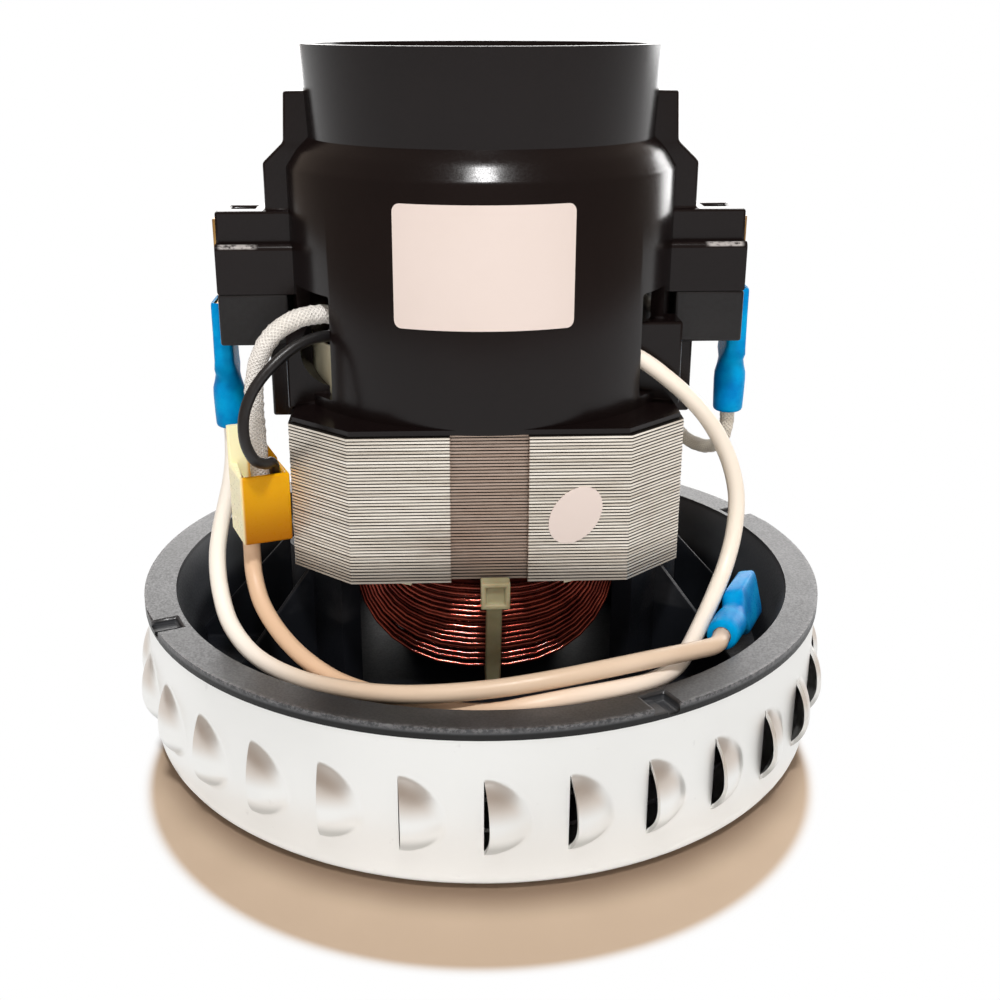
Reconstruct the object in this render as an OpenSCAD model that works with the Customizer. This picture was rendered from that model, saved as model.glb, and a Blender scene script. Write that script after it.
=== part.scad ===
// Vacuum motor unit: a louvred fan cover, a black lower frame that carries a laminated
// stator, a moulded top casing with the brush gear, a rotor with its fans, and the wiring.
// The base of the cover is at z = 0, the motor axis is Z, the brushes lie along X.

/* [Fan cover] */
// Outer diameter of the pressed cover
cover_d = 119.4; // [114:0.2:126]
// Height from the base to the underside of the frame rim
cover_h = 25.9; // [23:0.1:32]
// Thickness of the cover sheet
cover_t = 0.9; // [0.6:0.1:1.2]
// Outside radius of the lower edge
cover_edge_r = 3.5; // [2:0.1:5]
// Diameter of the suction eye
eye_d = 36; // [30:0.5:40]
// Height of the lip turned up round the eye
eye_lip_h = 1.8; // [1.4:0.1:2.6]
// Distance of the stiffening bead from the wall
bead_inset = 19.7; // [14:0.1:24]
// Width of the stiffening bead
bead_w = 5; // [3:0.1:7]
// Height of the stiffening bead
bead_h = 0.8; // [0.4:0.1:1.2]

/* [Louvres] */
// Number of louvres round the cover
louvre_n = 30; // [18:1:32]
// Height of a louvre mouth
louvre_h = 12.4; // [8:0.2:14]
// How far a louvre stands out from the wall
louvre_out = 2.4; // [1.5:0.1:3]
// Height of the louvre centres above the base
louvre_z = 13.8; // [12:0.1:15]
// Open slit at each mouth
louvre_slit = 0.6; // [0.2:0.1:1]
// Turn of the first louvre about the axis
louvre_phase = 4; // [0:0.5:12]

/* [Lower frame] */
// How far the rim stands out past the cover
rim_over = 0.3; // [0.1:0.1:1]
// Width of the rim
rim_w = 5.4; // [4.6:0.1:6]
// Thickness of the rim
rim_t = 1.9; // [1.4:0.1:3]
// How far the bowl wall leans in from the rim to the floor
bowl_lean = 4.1; // [3:0.1:5]
// Thickness of the bowl wall
bowl_wall = 1.8; // [1.2:0.1:2.4]
// Thickness of the floor
floor_t = 1.8; // [1.2:0.1:2.6]
// Height of the spigot that drops into the cover
spigot_h = 3.4; // [2:0.1:5]
// Thickness of the spigot
spigot_t = 1.6; // [1:0.1:2]
// Height of the pedestal that carries the stator
pedestal_h = 23.9; // [20:0.1:30]
// Thickness of the pedestal wall
pedestal_wall = 4; // [3:0.1:5]
// Half angle of each pedestal arc
pedestal_a = 45; // [38:1:48]
// Thickness of the ribs
rib_t = 1.2; // [0.8:0.1:2]
// Angle between neighbouring ribs
rib_pitch = 30; // [24:1:34]
// Diameter of the screw pillars
pillar_d = 8.8; // [7.6:0.1:10]
// Depth of the slots in the rim
rim_slot_depth = 1; // [0.5:0.1:1.3]
// Width of the slots in the rim
rim_slot_w = 4.2; // [2:0.1:6]

/* [Impeller] */
// Space between the impeller and the cover wall
impeller_gap = 7.8; // [6:0.1:12]
// Thickness of the impeller sheets
impeller_t = 0.8; // [0.5:0.1:1.2]
// Number of blades
blade_n = 7; // [5:1:9]
// Blade height at the outlet
blade_out_h = 4.6; // [3.5:0.1:7]
// Rise of the shroud from its eye to its edge
shroud_rise = 2.4; // [1.5:0.1:4]
// Radius of the blade curve, as a share of the impeller's
blade_arc_share = 0.667; // [0.6:0.001:0.75]
// Distance of the centre of the blade curve from the axis, as a share of the impeller's radius
blade_centre_share = 0.435; // [0.38:0.005:0.47]
// Space between the cover and the shroud
shroud_gap = 0.4; // [0.3:0.1:1.5]
// Space between the back plate and the frame floor
floor_gap = 1.4; // [1.2:0.1:3]
// Diameter of the clamping washers
washer_d = 26; // [20:0.5:34]
// Thickness of the clamping washers
washer_t = 0.8; // [0.5:0.1:1]
// Width across the flats of the impeller nut
nut_af = 13; // [12:0.5:16]
// Height of the impeller nut
nut_h = 6; // [4:0.1:6.4]

/* [Stator] */
// Width of the lamination stack, along X
stator_w = 62.4; // [60:0.2:68]
// How much deeper along Y than wide the stack is
stator_longer = 1.6; // [0:0.1:2.4]
// Height of the lamination stack
stack_h = 24; // [20:0.52:32]
// Width of the cut corners, along X
corner_w = 9.5; // [8:0.1:12]
// Depth of the cut corners, along Y
corner_d = 8.6; // [7:0.1:11]
// Width of the front and rear recess
recess_w = 12; // [8:0.2:16]
// Depth of the front and rear recess
recess_d = 1.4; // [0.8:0.1:2]
// Thickness of the yoke
yoke_t = 5.6; // [5:0.1:6]
// Least wall between the round of the slots and the sides
slot_wall = 2; // [1.6:0.1:2.4]
// Width of the pole necks
pole_w = 21; // [18:0.2:22]
// Thickness of the pole shoes
shoe_t = 2.8; // [2:0.1:3.2]
// Half angle of the pole shoes
shoe_a = 56; // [50:1:58]
// Distance of the stator screws from the middle, along Y
screw_y = 13; // [12:0.1:14]
// Diameter of the stator screws
screw_d = 3.4; // [3:0.1:3.6]

/* [Field windings] */
// Loops in the outer layer of each winding
coil_loops = 12; // [8:1:12]
// Diameter of the field wire
coil_wire_d = 0.6; // [0.4:0.02:0.6]
// Depth of the end turns below the stack
coil_drop = 18.5; // [14:0.1:19]
// How far the lowest end turn lies behind the outer face of the slots
coil_tuck = 1.6; // [1:0.1:4]
// Height of the end turns above the stack
coil_rise = 12; // [11:0.1:13]
// Thickness of the slot liners
liner_t = 0.35; // [0.2:0.05:0.5]
// Width of the cable ties
tie_w = 2.6; // [2:0.1:4]
// Thickness of the cable ties
tie_t = 0.9; // [0.6:0.1:1.2]
// Place of the cable ties along the stack's face
tie_x = 0.9; // [0:0.1:2]
// Width of a tie's head
tie_head_w = 4.6; // [4:0.1:6]
// Depth of a tie's head
tie_head_d = 2.7; // [2:0.1:3]
// Height of a tie's head
tie_head_h = 4.5; // [4:0.1:6]
// How far a tie's head hangs below the stack
tie_head_drop = 4.1; // [3:0.1:5]

/* [Top casing] */
// Height of the barrel
barrel_h = 37; // [35:0.1:42]
// Height of the sloping shoulder
shoulder_h = 4.6; // [3:0.1:7]
// Height of the neck
neck_h = 14; // [12:0.1:20]
// How far the shoulder runs in from the barrel to the neck
shoulder_in = 3.7; // [2:0.1:6]
// How far the neck flares out to its mouth
neck_flare = 0.8; // [0:0.1:1.6]
// Thickness of the casing wall
casing_wall = 2.2; // [1.6:0.1:2.8]
// Thickness of the foot flange
foot_t = 0.8; // [0.6:0.1:1.6]
// Height of the window sills above the stack
window_sill = 2.6; // [2:0.1:4]
// Height of the air windows
window_h = 16.5; // [15:0.1:18]
// Height of the screw posts
post_h = 13.7; // [12.5:0.1:14.5]
// Width of the fins beside the neck
fin_w = 9; // [6:0.2:12]

/* [Brush gear] */
// Height of the brush axis above the stack
brush_rise = 22.1; // [20:0.1:24]
// Width of a carbon brush
brush_w = 6; // [5:0.1:7]
// Height of a carbon brush
brush_h = 8.2; // [7:0.1:9]
// Length of a carbon brush
brush_l = 19; // [16:0.1:22]
// Length of a brush spring
spring_l = 12.6; // [10:0.1:15]
// Wall of the brush sleeves
brush_sleeve_t = 0.7; // [0.4:0.1:1]
// Width of the brush housings
block_w = 16; // [14:0.2:18]
// Height of the brush caps
cap_h = 8.5; // [7:0.1:9.5]

/* [Terminals] */
// Thickness of the brush terminals
tab_t = 0.8; // [0.5:0.1:1]
// Width of the terminal plates
plate_w = 6.3; // [5.6:0.1:7]
// Width of the terminal tabs
tab_w = 4.8; // [4:0.1:5.4]
// Length of a terminal sleeve
sleeve_l = 22.2; // [20:0.1:22.4]
// Diameter of a sleeve barrel
barrel_d = 5.4; // [4.8:0.1:6]
// Wall of the terminal sleeves
sleeve_wall = 0.7; // [0.4:0.1:0.9]
// Wall of the brass receptacles
receptacle_wall = 0.8; // [0.4:0.1:0.9]

/* [Rotor] */
// Diameter of the shaft
shaft_d = 8; // [7.6:0.1:9]
// Diameter of the shaft above the commutator
journal_d = 7; // [6:0.1:7.4]
// Space between the armature and the sides of the stack
armature_inset = 13.7; // [13:0.1:14.4]
// Air gap between the armature and the poles
air_gap = 0.5; // [0.4:0.05:0.8]
// Number of armature slots
armature_slots = 12; // [10:1:14]
// Diameter of the commutator
commutator_d = 23; // [20:0.2:25]
// Height of the commutator
commutator_h = 14.5; // [13:0.1:16]
// Number of commutator bars
commutator_bars = 24; // [20:2:28]
// Outer diameter of both bearings
bearing_d = 22; // [21:0.2:24]
// Width of both bearings
bearing_w = 7; // [6:0.1:8]
// Diameter of the bearing balls
ball_d = 4; // [3.4:0.1:4.2]
// Number of balls in each bearing
ball_n = 7; // [6:1:7]
// Thickness of the rubber ring round the upper bearing
rubber_t = 1.2; // [0.8:0.1:1.6]
// Number of cooling fan blades
fan_n = 9; // [7:1:11]
// Height of the cooling fan
fan_h = 8; // [6:0.1:9]

/* [Wiring] */
// Diameter of the supply lead and the link wire
lead_d = 2.8; // [2:0.1:2.8]
// Diameter of the black wire
black_d = 1.8; // [1.2:0.1:1.8]
// Diameter of the sleeved wire
sleeved_d = 3.2; // [2.4:0.1:3.2]
// Diameter of the right brush wire
brush_wire_d = 2.6; // [1.8:0.1:2.6]
// Width of the connector
connector_w = 8; // [7.4:0.1:9]
// Depth of the connector
connector_d = 8.8; // [8:0.1:10]
// Height of the connector body
connector_h = 11.4; // [10:0.1:12]
// Wall of the connector
connector_wall = 0.9; // [0.6:0.1:1]

/* [Labels] */
// Width of the bare rating label, measured round the casing
label_w = 27.4; // [20:0.2:32]
// Height of the bare rating label
label_h = 18.2; // [12:0.2:20]
// Distance of the rating label from the top of the barrel
label_drop = 2.7; // [1:0.1:6]
// Length of the bare oval sticker
sticker_l = 10.2; // [8:0.1:11]
// Width of the bare oval sticker
sticker_w = 7.2; // [5:0.1:8]
// Thickness of the label and the sticker
label_t = 0.2; // [0.1:0.05:0.3]

/* [Clearances] */
// Space round a piece that drops into its seat
fit_gap = 0.1; // [0.05:0.01:0.2]
// Space round a bearing in its seat
bearing_fit = 0.02; // [0.01:0.005:0.04]
// Space round a screw in its thread
thread_gap = 0.05; // [0.02:0.01:0.1]
// Space between the brushes and the commutator
brush_gap = 0.15; // [0.1:0.01:0.25]
// Space between the balls and their races
ball_gap = 0.1; // [0.05:0.01:0.15]

/* [Hidden] */
$fn = 96;

// How far a cutting shape runs past the face that it cuts
cut = 1;
left = -1;
right = 1;

// Fan cover
cover_r = cover_d / 2;
bead_r = cover_r - bead_inset;
eye_r = eye_d / 2;
bead_arc_r = (pow(bead_w / 2, 2) + pow(bead_h, 2)) / (2 * bead_h);
louvre_r = (pow(louvre_h / 2, 2) + pow(louvre_out, 2)) / (2 * louvre_out);
louvre_centre = cover_r + louvre_out - louvre_r;

// Heights, from the base of the cover upwards
shroud_z = eye_lip_h + shroud_gap;
back_z = shroud_z + shroud_rise + impeller_t + blade_out_h;
floor_z = back_z + impeller_t + floor_gap;
floor_top = floor_z + floor_t;
rim_top = cover_h + rim_t;
stator_z = floor_top + pedestal_h;
stator_top = stator_z + stack_h;
brush_z = stator_top + brush_rise;
barrel_top = stator_top + barrel_h;
shoulder_top = barrel_top + shoulder_h;
casing_top = shoulder_top + neck_h;

// Stator slots and poles
stator_hw = stator_w / 2;
stator_hd = (stator_w + stator_longer) / 2;
stator_flat = stator_hw - corner_w;
stator_side = stator_hd - corner_d;
armature_r = stator_hw - armature_inset;
slot_x = stator_hw - yoke_t;
slot_y = stator_hd - yoke_t;
slot_r = stator_hw - slot_wall;
bore_r = armature_r + air_gap;
shoe_r = bore_r + shoe_t;
screw_x = stator_hw - 2.6;
screw_hole_r = screw_d / 2 + 0.25;
screw_head_r = screw_d / 2 + 1.2;
screw_head_h = 2.6;
screw_seat_z = floor_top + 2;
screw_top = stator_top + post_h - 1.6;

// Slot liners and field windings
liner_r = slot_r - fit_gap;
liner_drop = 2.9;
liner_rise = 6.1;
liner_flap_rise = 10.1;
liner_a0 = max(
    acos((slot_x - fit_gap) / liner_r),
    atan2(screw_y, screw_x) + 2 * asin((pillar_d / 2 + 0.4) / (2 * slot_r))
);
liner_a1 = asin((slot_y - fit_gap) / liner_r);
coil_r = liner_r - liner_t - coil_wire_d / 2 - 0.35;
coil_a0 = acos((pole_w / 2 + 2.3) / coil_r);
coil_a1 = coil_a0 - 25.4;
coil_low_z = stator_z - 0.5;
coil_high_z = stator_top + 0.5;
coil_first = 1.6;
coil_loop_rings = 24;
coil_sides = 6;
core_inset = 0.9;
core_in_r = shoe_r + 2.2;

// Lower frame
pedestal_in_r = slot_r + 0.6;
pedestal_r = pedestal_in_r + pedestal_wall;
rim_r = cover_r + rim_over;
bowl_r = rim_r - rim_w;
floor_r = bowl_r - bowl_lean;
spigot_r = cover_r - cover_t - 0.2;
bearing_r = bearing_d / 2;
boss_r = bearing_r + 3.5;
boss_top = floor_top + bearing_w + 1.5;
shaft_hole_r = bearing_r - 3;

// Top casing
casing_in_r = slot_r + 0.4;
casing_r = casing_in_r + casing_wall;
neck_foot_r = casing_r - shoulder_in;
neck_r = neck_foot_r + neck_flare;
window_a0 = 24;
wide_window_a0 = 18;
window_a1 = 40;
post_out = casing_r;
post_y0 = screw_y - 4;
post_y1 = screw_y + 2.8;
cup_seat_r = bearing_r + rubber_t + bearing_fit * 2;
cup_r = cup_seat_r + 2;
commutator_r = commutator_d / 2;
upper_bearing_z = brush_z + commutator_h / 2 + 3;
cup_z = upper_bearing_z - 0.2;
cup_top = upper_bearing_z + bearing_w + 1.8;

// Brush gear, as distances from the axis
brush_x = commutator_r + brush_gap;
block_x = brush_x + brush_l + spring_l;
sleeve_x = commutator_r + 2;
brush_hole_w = brush_w + 2 * fit_gap;
brush_hole_h = brush_h + 2 * fit_gap;
brush_sleeve_w = brush_hole_w + 2 * brush_sleeve_t;
brush_sleeve_h = brush_hole_h + 2 * brush_sleeve_t;
channel_w = brush_sleeve_w + 2 * fit_gap;
channel_top = brush_z + brush_sleeve_h / 2 + fit_gap;
parting_z = brush_z - brush_sleeve_h / 2 - fit_gap;
block_step_z = brush_z + 3;
block_top = channel_top + 3;
block_top_w = channel_w + 3.2;
cap_x = casing_r + fit_gap;

// Terminals
tab_x = block_x + tab_t / 2;
plate_z = parting_z - 0.5;
plate_top = block_top - 1.5;
tab_z = plate_z - 10.8;
slot_w = tab_w + 2 * fit_gap;
slot_t = tab_t + 2 * fit_gap;
receptacle_w = slot_w + 2 * receptacle_wall;
receptacle_t = slot_t + 2 * receptacle_wall;
sleeve_w = receptacle_w + 2 * fit_gap + 2 * sleeve_wall;
sleeve_t = receptacle_t + 2 * fit_gap + 2 * sleeve_wall;
crimp_l = 8;
crimp_r = barrel_d / 2 - sleeve_wall - fit_gap;
receptacle_l = sleeve_l - 0.6;
sleeve_flare = 3;
left_terminal_z = 54.6;
right_terminal_z = 56.4;

// Rotor
shaft_r = shaft_d / 2;
journal_r = journal_d / 2;
impeller_r = cover_r - cover_t - impeller_gap;
blade_arc_r = blade_arc_share * impeller_r;
shroud_eye_r = eye_r + 2;
nut_z = back_z - washer_t - nut_h;
shaft_z = nut_z - 0.6;
journal_z = upper_bearing_z - 2;
fan_z = shoulder_top + 1.5;
fan_r = neck_foot_r - casing_wall - 1.6;
shaft_top = fan_z + fan_h - 1;
end_winding_r = bore_r - 1.8;
end_winding_in_r = shaft_r + 2.5;
lower_winding_h = 9.4;
upper_winding_h = brush_z - commutator_h / 2 - stator_top - 1.2;
bearing_shoulder = 1.45;

// Way of the wires through the bowl and up the stack. Each point has its angle about the axis, its
// share of the way from the side of the stack to the bowl, and its share of the height from the
// rim to the top of the stack.
lead_lay = [
    [-178.43, 0.5349, 0.61], [-174.79, 0.5505, 0.5279], [-168.99, 0.591, 0.4545],
    [-162.54, 0.6603, 0.3812], [-156.18, 0.7408, 0.2933], [-150.26, 0.8028, 0.1818],
    [-144.12, 0.8396, 0.0645], [-135.95, 0.8427, -0.0176], [-126.14, 0.8258, -0.0469],
    [-115.85, 0.8226, -0.0352], [-106.68, 0.8259, -0.0147], [-97.97, 0.8243, 0.0117],
    [-89.43, 0.8249, 0.0381], [-80.91, 0.8306, 0.0645], [-72.17, 0.8304, 0.0792],
    [-62.32, 0.8286, 0.0733], [-52.5, 0.8429, 0.0469], [-46.42, 0.8612, 0.0264],
    [-41.92, 0.8032, 0.0176]
];
link_lay = [
    [-147.66, 0.5838, 0.2463], [-142.83, 0.6188, 0.1466], [-136.23, 0.6434, 0.0616],
    [-128.93, 0.6662, -0.0059], [-121.23, 0.6858, -0.0557], [-114.19, 0.7, -0.0762],
    [-107.57, 0.7197, -0.085], [-101.2, 0.7577, -0.088], [-95.13, 0.8163, -0.0821],
    [-89.45, 0.8804, -0.0528], [-84, 0.914, -0.0176], [-77.36, 0.9134, 0], [-69.28, 0.901, -0.0029],
    [-62.14, 0.8613, -0.0235], [-55.67, 0.7884, -0.0381], [-49.27, 0.6969, -0.0293],
    [-41.8, 0.6158, 0.0088], [-33.12, 0.575, 0.088], [-25.59, 0.5858, 0.2053],
    [-21.19, 0.6055, 0.3578], [-19.4, 0.5967, 0.5161], [-19.67, 0.5456, 0.6686],
    [-21.45, 0.4665, 0.8094], [-24.9, 0.3722, 0.9443], [-28.89, 0.2676, 1.0557],
    [-32.5, 0.1462, 1.1496], [-35.62, 0.002, 1.2317], [-38.04, -0.1613, 1.2845]
];
black_lay = [
    [-143.57, -0.2179, 1.349], [-144.08, 0.007, 1.3666], [-143.76, 0.2138, 1.349],
    [-143.81, 0.4035, 1.2786], [-144.22, 0.5525, 1.1789], [-144.17, 0.6379, 1.0674],
    [-143.18, 0.6632, 0.956], [-142.28, 0.6224, 0.868], [-143.24, 0.5231, 0.827],
    [-145.23, 0.4354, 0.8094]
];
sleeved_lay = [
    [-145.19, -0.2403, 1.437], [-145.8, -0.0105, 1.4633], [-146.22, 0.1731, 1.4575],
    [-147.59, 0.317, 1.4047], [-149.04, 0.411, 1.3079], [-150.02, 0.4625, 1.1613],
    [-150.63, 0.4615, 1.0029], [-151.59, 0.445, 0.827]
];
brush_wire_lay = [
    [1.58, 0.5221, 0.6745], [5.11, 0.4902, 0.607], [9.69, 0.4442, 0.5748], [14.93, 0.3916, 0.5806],
    [20.45, 0.3543, 0.6276], [25.71, 0.341, 0.7097], [29.96, 0.3438, 0.8211],
    [32.3, 0.3301, 0.9619], [33.1, 0.2787, 1.0968], [33.96, 0.1506, 1.2082],
    [35.69, -0.0074, 1.2727], [37.8, -0.1759, 1.2962]
];

// Points between two values
function between(a, b, share) = a + (b - a) * share;
function polar(r, a) = [r * cos(a), r * sin(a)];
function laid(p) = let (flat = polar(between(stator_hw, bowl_r, p[1]), p[0]))
    [flat.x, flat.y, between(rim_top, stator_top, p[2])];
function laid_all(lay) = [for (p = lay) laid(p)];

// Connector at the end of the black and the sleeved wire, with the places of its wires
connector_corner = laid([-145.77, 0.6722, 0.4252]);
connector_yaw = 20;
connector_pocket = 3;
connector_back_rise = 6.3;
link_entry = connector_corner + [0.6, 3.9, 0];
black_entry = connector_corner + [5, 4.1, connector_h - connector_pocket + 0.1];
sleeved_entry = connector_corner + [2.2, 6.8, connector_h - connector_pocket + 0.1];

// Routes of the wires, from one end to the other
wire_lead = 2.5;
lead_route = concat(
    [[-tab_x, 0, left_terminal_z], [-tab_x, 0, left_terminal_z - wire_lead]],
    laid_all(lead_lay)
);
link_route = concat([link_entry, link_entry - [0, 0, wire_lead]], laid_all(link_lay));
black_route = concat(laid_all(black_lay), [black_entry + [0, 0, wire_lead], black_entry]);
sleeved_route = concat(laid_all(sleeved_lay), [sleeved_entry]);
brush_wire_route = concat(
    [[tab_x, 0, right_terminal_z], [tab_x, 0, right_terminal_z - wire_lead]],
    laid_all(brush_wire_lay)
);
// The free terminal follows the end of the lead, rolled about it
lead_tip = lead_route[len(lead_route) - 1];
lead_tip_way = lead_tip - lead_route[len(lead_route) - 2];
lead_tip_roll = 75;

// Frames carried along a path without twist
function unit(v) = v / norm(v);
function tangent(path, i) = unit(path[min(i + 1, len(path) - 1)] - path[max(i - 1, 0)]);
function square_to(v) = unit(cross(v, abs(v.z) < 0.9 ? [0, 0, 1] : [1, 0, 0]));
function carried(side, along) = unit(side - (side * along) * along);
function sides_along(path) = [
    for (i = 0, side = square_to(tangent(path, 0)); i < len(path);
        i = i + 1, side = carried(side, tangent(path, min(i, len(path) - 1)))) side
];
function ring_points(path, r, n) = let (sides = sides_along(path)) [
    for (i = [0 : len(path) - 1])
        let (up = cross(tangent(path, i), sides[i]))
        for (k = [0 : n - 1]) path[i] + r * (cos(360 * k / n) * sides[i] + sin(360 * k / n) * up)
];
// Triangles that join the rings of a tube, without its ends
function wall_faces(rings, n) = [
    for (i = [0 : rings - 2], k = [0 : n - 1])
        let (a = i * n + k, b = i * n + (k + 1) % n)
        for (face = [[a, a + n, b + n], [a, b + n, b]]) face
];
function end_faces(rings, n) = let (last = (rings - 1) * n) [
    for (k = [1 : n - 2])
        for (face = [[0, k, k + 1], [last, last + k + 1, last + k]]) face
];

// One unbroken tube swept along a path
module tube(path, d, n) {
    polyhedron(
        ring_points(path, d / 2, n),
        concat(wall_faces(len(path), n), end_faces(len(path), n))
    );
}

module wire(path, d) {
    tube(path, d, 8);
}

module ring(r_out, r_in, h) {
    difference() {
        cylinder(r = r_out, h = h);
        translate([0, 0, -cut]) cylinder(r = r_in, h = h + 2 * cut);
    }
}

// Flat ring sector between two angles
module sector(r_out, r_in, a0, a1) {
    reach = 2 * r_out;
    intersection() {
        difference() {
            circle(r_out);
            circle(r_in);
        }
        polygon([[0, 0], polar(reach, a0), polar(reach, (a0 + a1) / 2), polar(reach, a1)]);
    }
}

// Box that is centred on X and Y and stands on z = 0
module post(size) {
    translate([-size.x / 2, -size.y / 2, 0]) cube(size);
}

// A copy on each corner pillar
module at_pillars() {
    for (sx = [left, right], sy = [-1, 1]) translate([sx * screw_x, sy * screw_y, 0]) children();
}

// A copy on each screw, which sit in two opposite pillars
module at_screws() {
    for (side = [left, right]) translate([side * screw_x, -side * screw_y, 0]) children();
}

// Side is left or right: the right one is drawn, the left one is its mirror image
module on_side(side) {
    if (side == right) children();
    else mirror([1, 0, 0]) children();
}

// Fan cover

module cover_section(inset, top) {
    r = cover_r - inset;
    edge = cover_edge_r - inset;
    translate([0, inset]) square([r - edge, top - inset]);
    translate([0, cover_edge_r]) square([r, top - cover_edge_r]);
    translate([r - edge, cover_edge_r]) circle(edge);
}

module bead_section() {
    translate([bead_r, bead_h - bead_arc_r]) intersection() {
        difference() {
            circle(bead_arc_r + cover_t);
            circle(bead_arc_r);
        }
        translate([-bead_w, bead_arc_r - bead_h]) square([2 * bead_w, bead_h + cover_t]);
    }
}

module cover_shell() {
    rotate_extrude() {
        difference() {
            cover_section(0, cover_h);
            cover_section(cover_t, cover_h + cut);
            translate([0, -cut]) square([eye_r, cover_t + 2 * cut]);
            translate([bead_r - bead_w / 2, -cut]) square([bead_w, cover_t + 2 * cut]);
        }
        translate([eye_r, 0]) square([cover_t, eye_lip_h]);
        bead_section();
    }
}

// Half balls on the wall, on one side of each louvre's mouth
module louvre_balls(r, slit) {
    for (i = [0 : louvre_n - 1])
        rotate([0, 0, louvre_phase + 360 * i / louvre_n])
            translate([louvre_centre, 0, louvre_z])
                intersection() {
                    sphere(r);
                    translate([-r, slit, -r]) cube([2 * r, r, 2 * r]);
                }
}

module fan_cover() {
    color("gainsboro") difference() {
        union() {
            cover_shell();
            difference() {
                louvre_balls(louvre_r, louvre_slit);
                cylinder(r = cover_r - cover_t, h = cover_h);
            }
        }
        louvre_balls(louvre_r - cover_t, 0);
    }
}

// Lower frame

module frame_section() {
    translate([bowl_r, cover_h]) square([rim_w, rim_t]);
    polygon([
        [bowl_r, rim_top], [floor_r, floor_top], [floor_r, floor_z], [floor_r + bowl_wall, floor_z],
        [bowl_r + bowl_wall, cover_h], [bowl_r + bowl_wall, rim_top]
    ]);
    translate([shaft_hole_r, floor_z]) square([floor_r - shaft_hole_r + bowl_wall / 2, floor_t]);
    translate([bearing_r + bearing_fit, floor_z])
        square([boss_r - bearing_r - bearing_fit, boss_top - floor_z]);
    translate([spigot_r - spigot_t, cover_h - spigot_h]) square([spigot_t, spigot_h + rim_t / 2]);
}

module pedestals() {
    window_w = 8;
    window_z = 4;
    pedestal_window_h = 12;
    for (side = [left, right]) on_side(side) difference() {
        translate([0, 0, floor_z + floor_t / 2]) linear_extrude(pedestal_h + floor_t / 2)
            sector(pedestal_r, pedestal_in_r, -pedestal_a, pedestal_a);
        for (a = [-rib_pitch / 2, rib_pitch / 2])
            rotate([0, 0, a]) translate([pedestal_in_r - cut, -window_w / 2, floor_top + window_z])
                cube([pedestal_wall + 2 * cut, window_w, pedestal_window_h]);
    }
}

module frame_ribs() {
    rib_top_gap = 2.9;
    rib_toe_h = 1.5;
    foot_x = pedestal_r - pedestal_wall / 2;
    toe_x = floor_r + bowl_wall / 2;
    for (side = [0, 180], a = [-rib_pitch, 0, rib_pitch]) rotate([90, 0, side + a])
        linear_extrude(rib_t, center = true)
            polygon([
                [foot_x, floor_z + floor_t / 2], [toe_x, floor_z + floor_t / 2],
                [toe_x, floor_top + rib_toe_h], [pedestal_r, stator_z - rib_top_gap],
                [foot_x, stator_z - rib_top_gap]
            ]);
}

module floor_pads() {
    pad_r = 4;
    pad_h = 3.5;
    pad_a = 67;
    pad_ring_r = floor_r - 6;
    for (a = [pad_a, 180 - pad_a, 180 + pad_a, -pad_a])
        rotate([0, 0, a]) translate([pad_ring_r, 0, floor_z + floor_t / 2])
            cylinder(r = pad_r, h = pad_h + floor_t / 2);
}

module rim_slots() {
    slot_a = 24.5;
    slot_start = bowl_r + 1.2;
    deep = rim_slot_depth * 1.5;
    for (i = [0 : 3]) rotate([0, 0, slot_a + 90 * i]) {
        translate([slot_start, -rim_slot_w / 2, rim_top - rim_slot_depth])
            cube([rim_r, rim_slot_w, rim_slot_depth + cut]);
        translate([slot_start, 0, rim_top - deep]) cube([rim_r, rim_slot_w / 2, deep + cut]);
    }
}

module lower_frame() {
    color("#26262a") difference() {
        union() {
            rotate_extrude() frame_section();
            pedestals();
            frame_ribs();
            floor_pads();
            at_pillars() translate([0, 0, floor_z]) cylinder(d = pillar_d, h = stator_z - floor_z);
        }
        at_screws() translate([0, 0, floor_z - cut])
            cylinder(r = screw_hole_r, h = stator_z - floor_z + 2 * cut);
        at_screws() translate([0, 0, floor_z - cut])
            cylinder(r = screw_head_r + 0.25, h = screw_seat_z - floor_z + cut);
        rim_slots();
    }
}

// Stator

function outline_quarter(hw, hd, flat, side, recess) = [
    [hw, side], [flat, hd], [recess_w / 2, hd], [recess_w / 2, hd - recess]
];
function flipped(points, sx, sy) = [for (i = [len(points) - 1 : -1 : 0]) [points[i].x * sx, points[i].y * sy]];
function stator_outline(inset, recess) = let (
    q = outline_quarter(
        stator_hw - inset, stator_hd - inset, stator_flat - inset / 2, stator_side - inset / 2, recess
    ))
    concat(q, flipped(q, -1, 1), [for (p = q) -p], flipped(q, 1, -1));

module lamination() {
    difference() {
        union() {
            difference() {
                polygon(stator_outline(0, recess_d));
                intersection() {
                    square([2 * slot_x, 2 * slot_y], center = true);
                    circle(slot_r);
                }
            }
            for (a = [90, -90]) {
                sector(shoe_r, bore_r, a - shoe_a, a + shoe_a);
                rotate([0, 0, a]) translate([bore_r, -pole_w / 2])
                    square([stator_hd - recess_d - bore_r - yoke_t / 2, pole_w]);
            }
        }
        circle(bore_r);
        at_pillars() circle(screw_hole_r);
    }
}

module stator_core() {
    color("silver") translate([0, 0, stator_z]) linear_extrude(stack_h) lamination();
}

module slot_liner(rise) {
    translate([0, 0, stator_z - liner_drop]) linear_extrude(liner_drop + stack_h + rise)
        sector(liner_r, liner_r - liner_t, liner_a0, liner_a1);
}

// Wider flap of the front left liner, above the stack
module liner_flap() {
    flap_a0 = 8;
    translate([0, 0, stator_top + fit_gap]) linear_extrude(liner_flap_rise)
        sector(liner_r, liner_r - liner_t, flap_a0, liner_a1);
}

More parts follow.
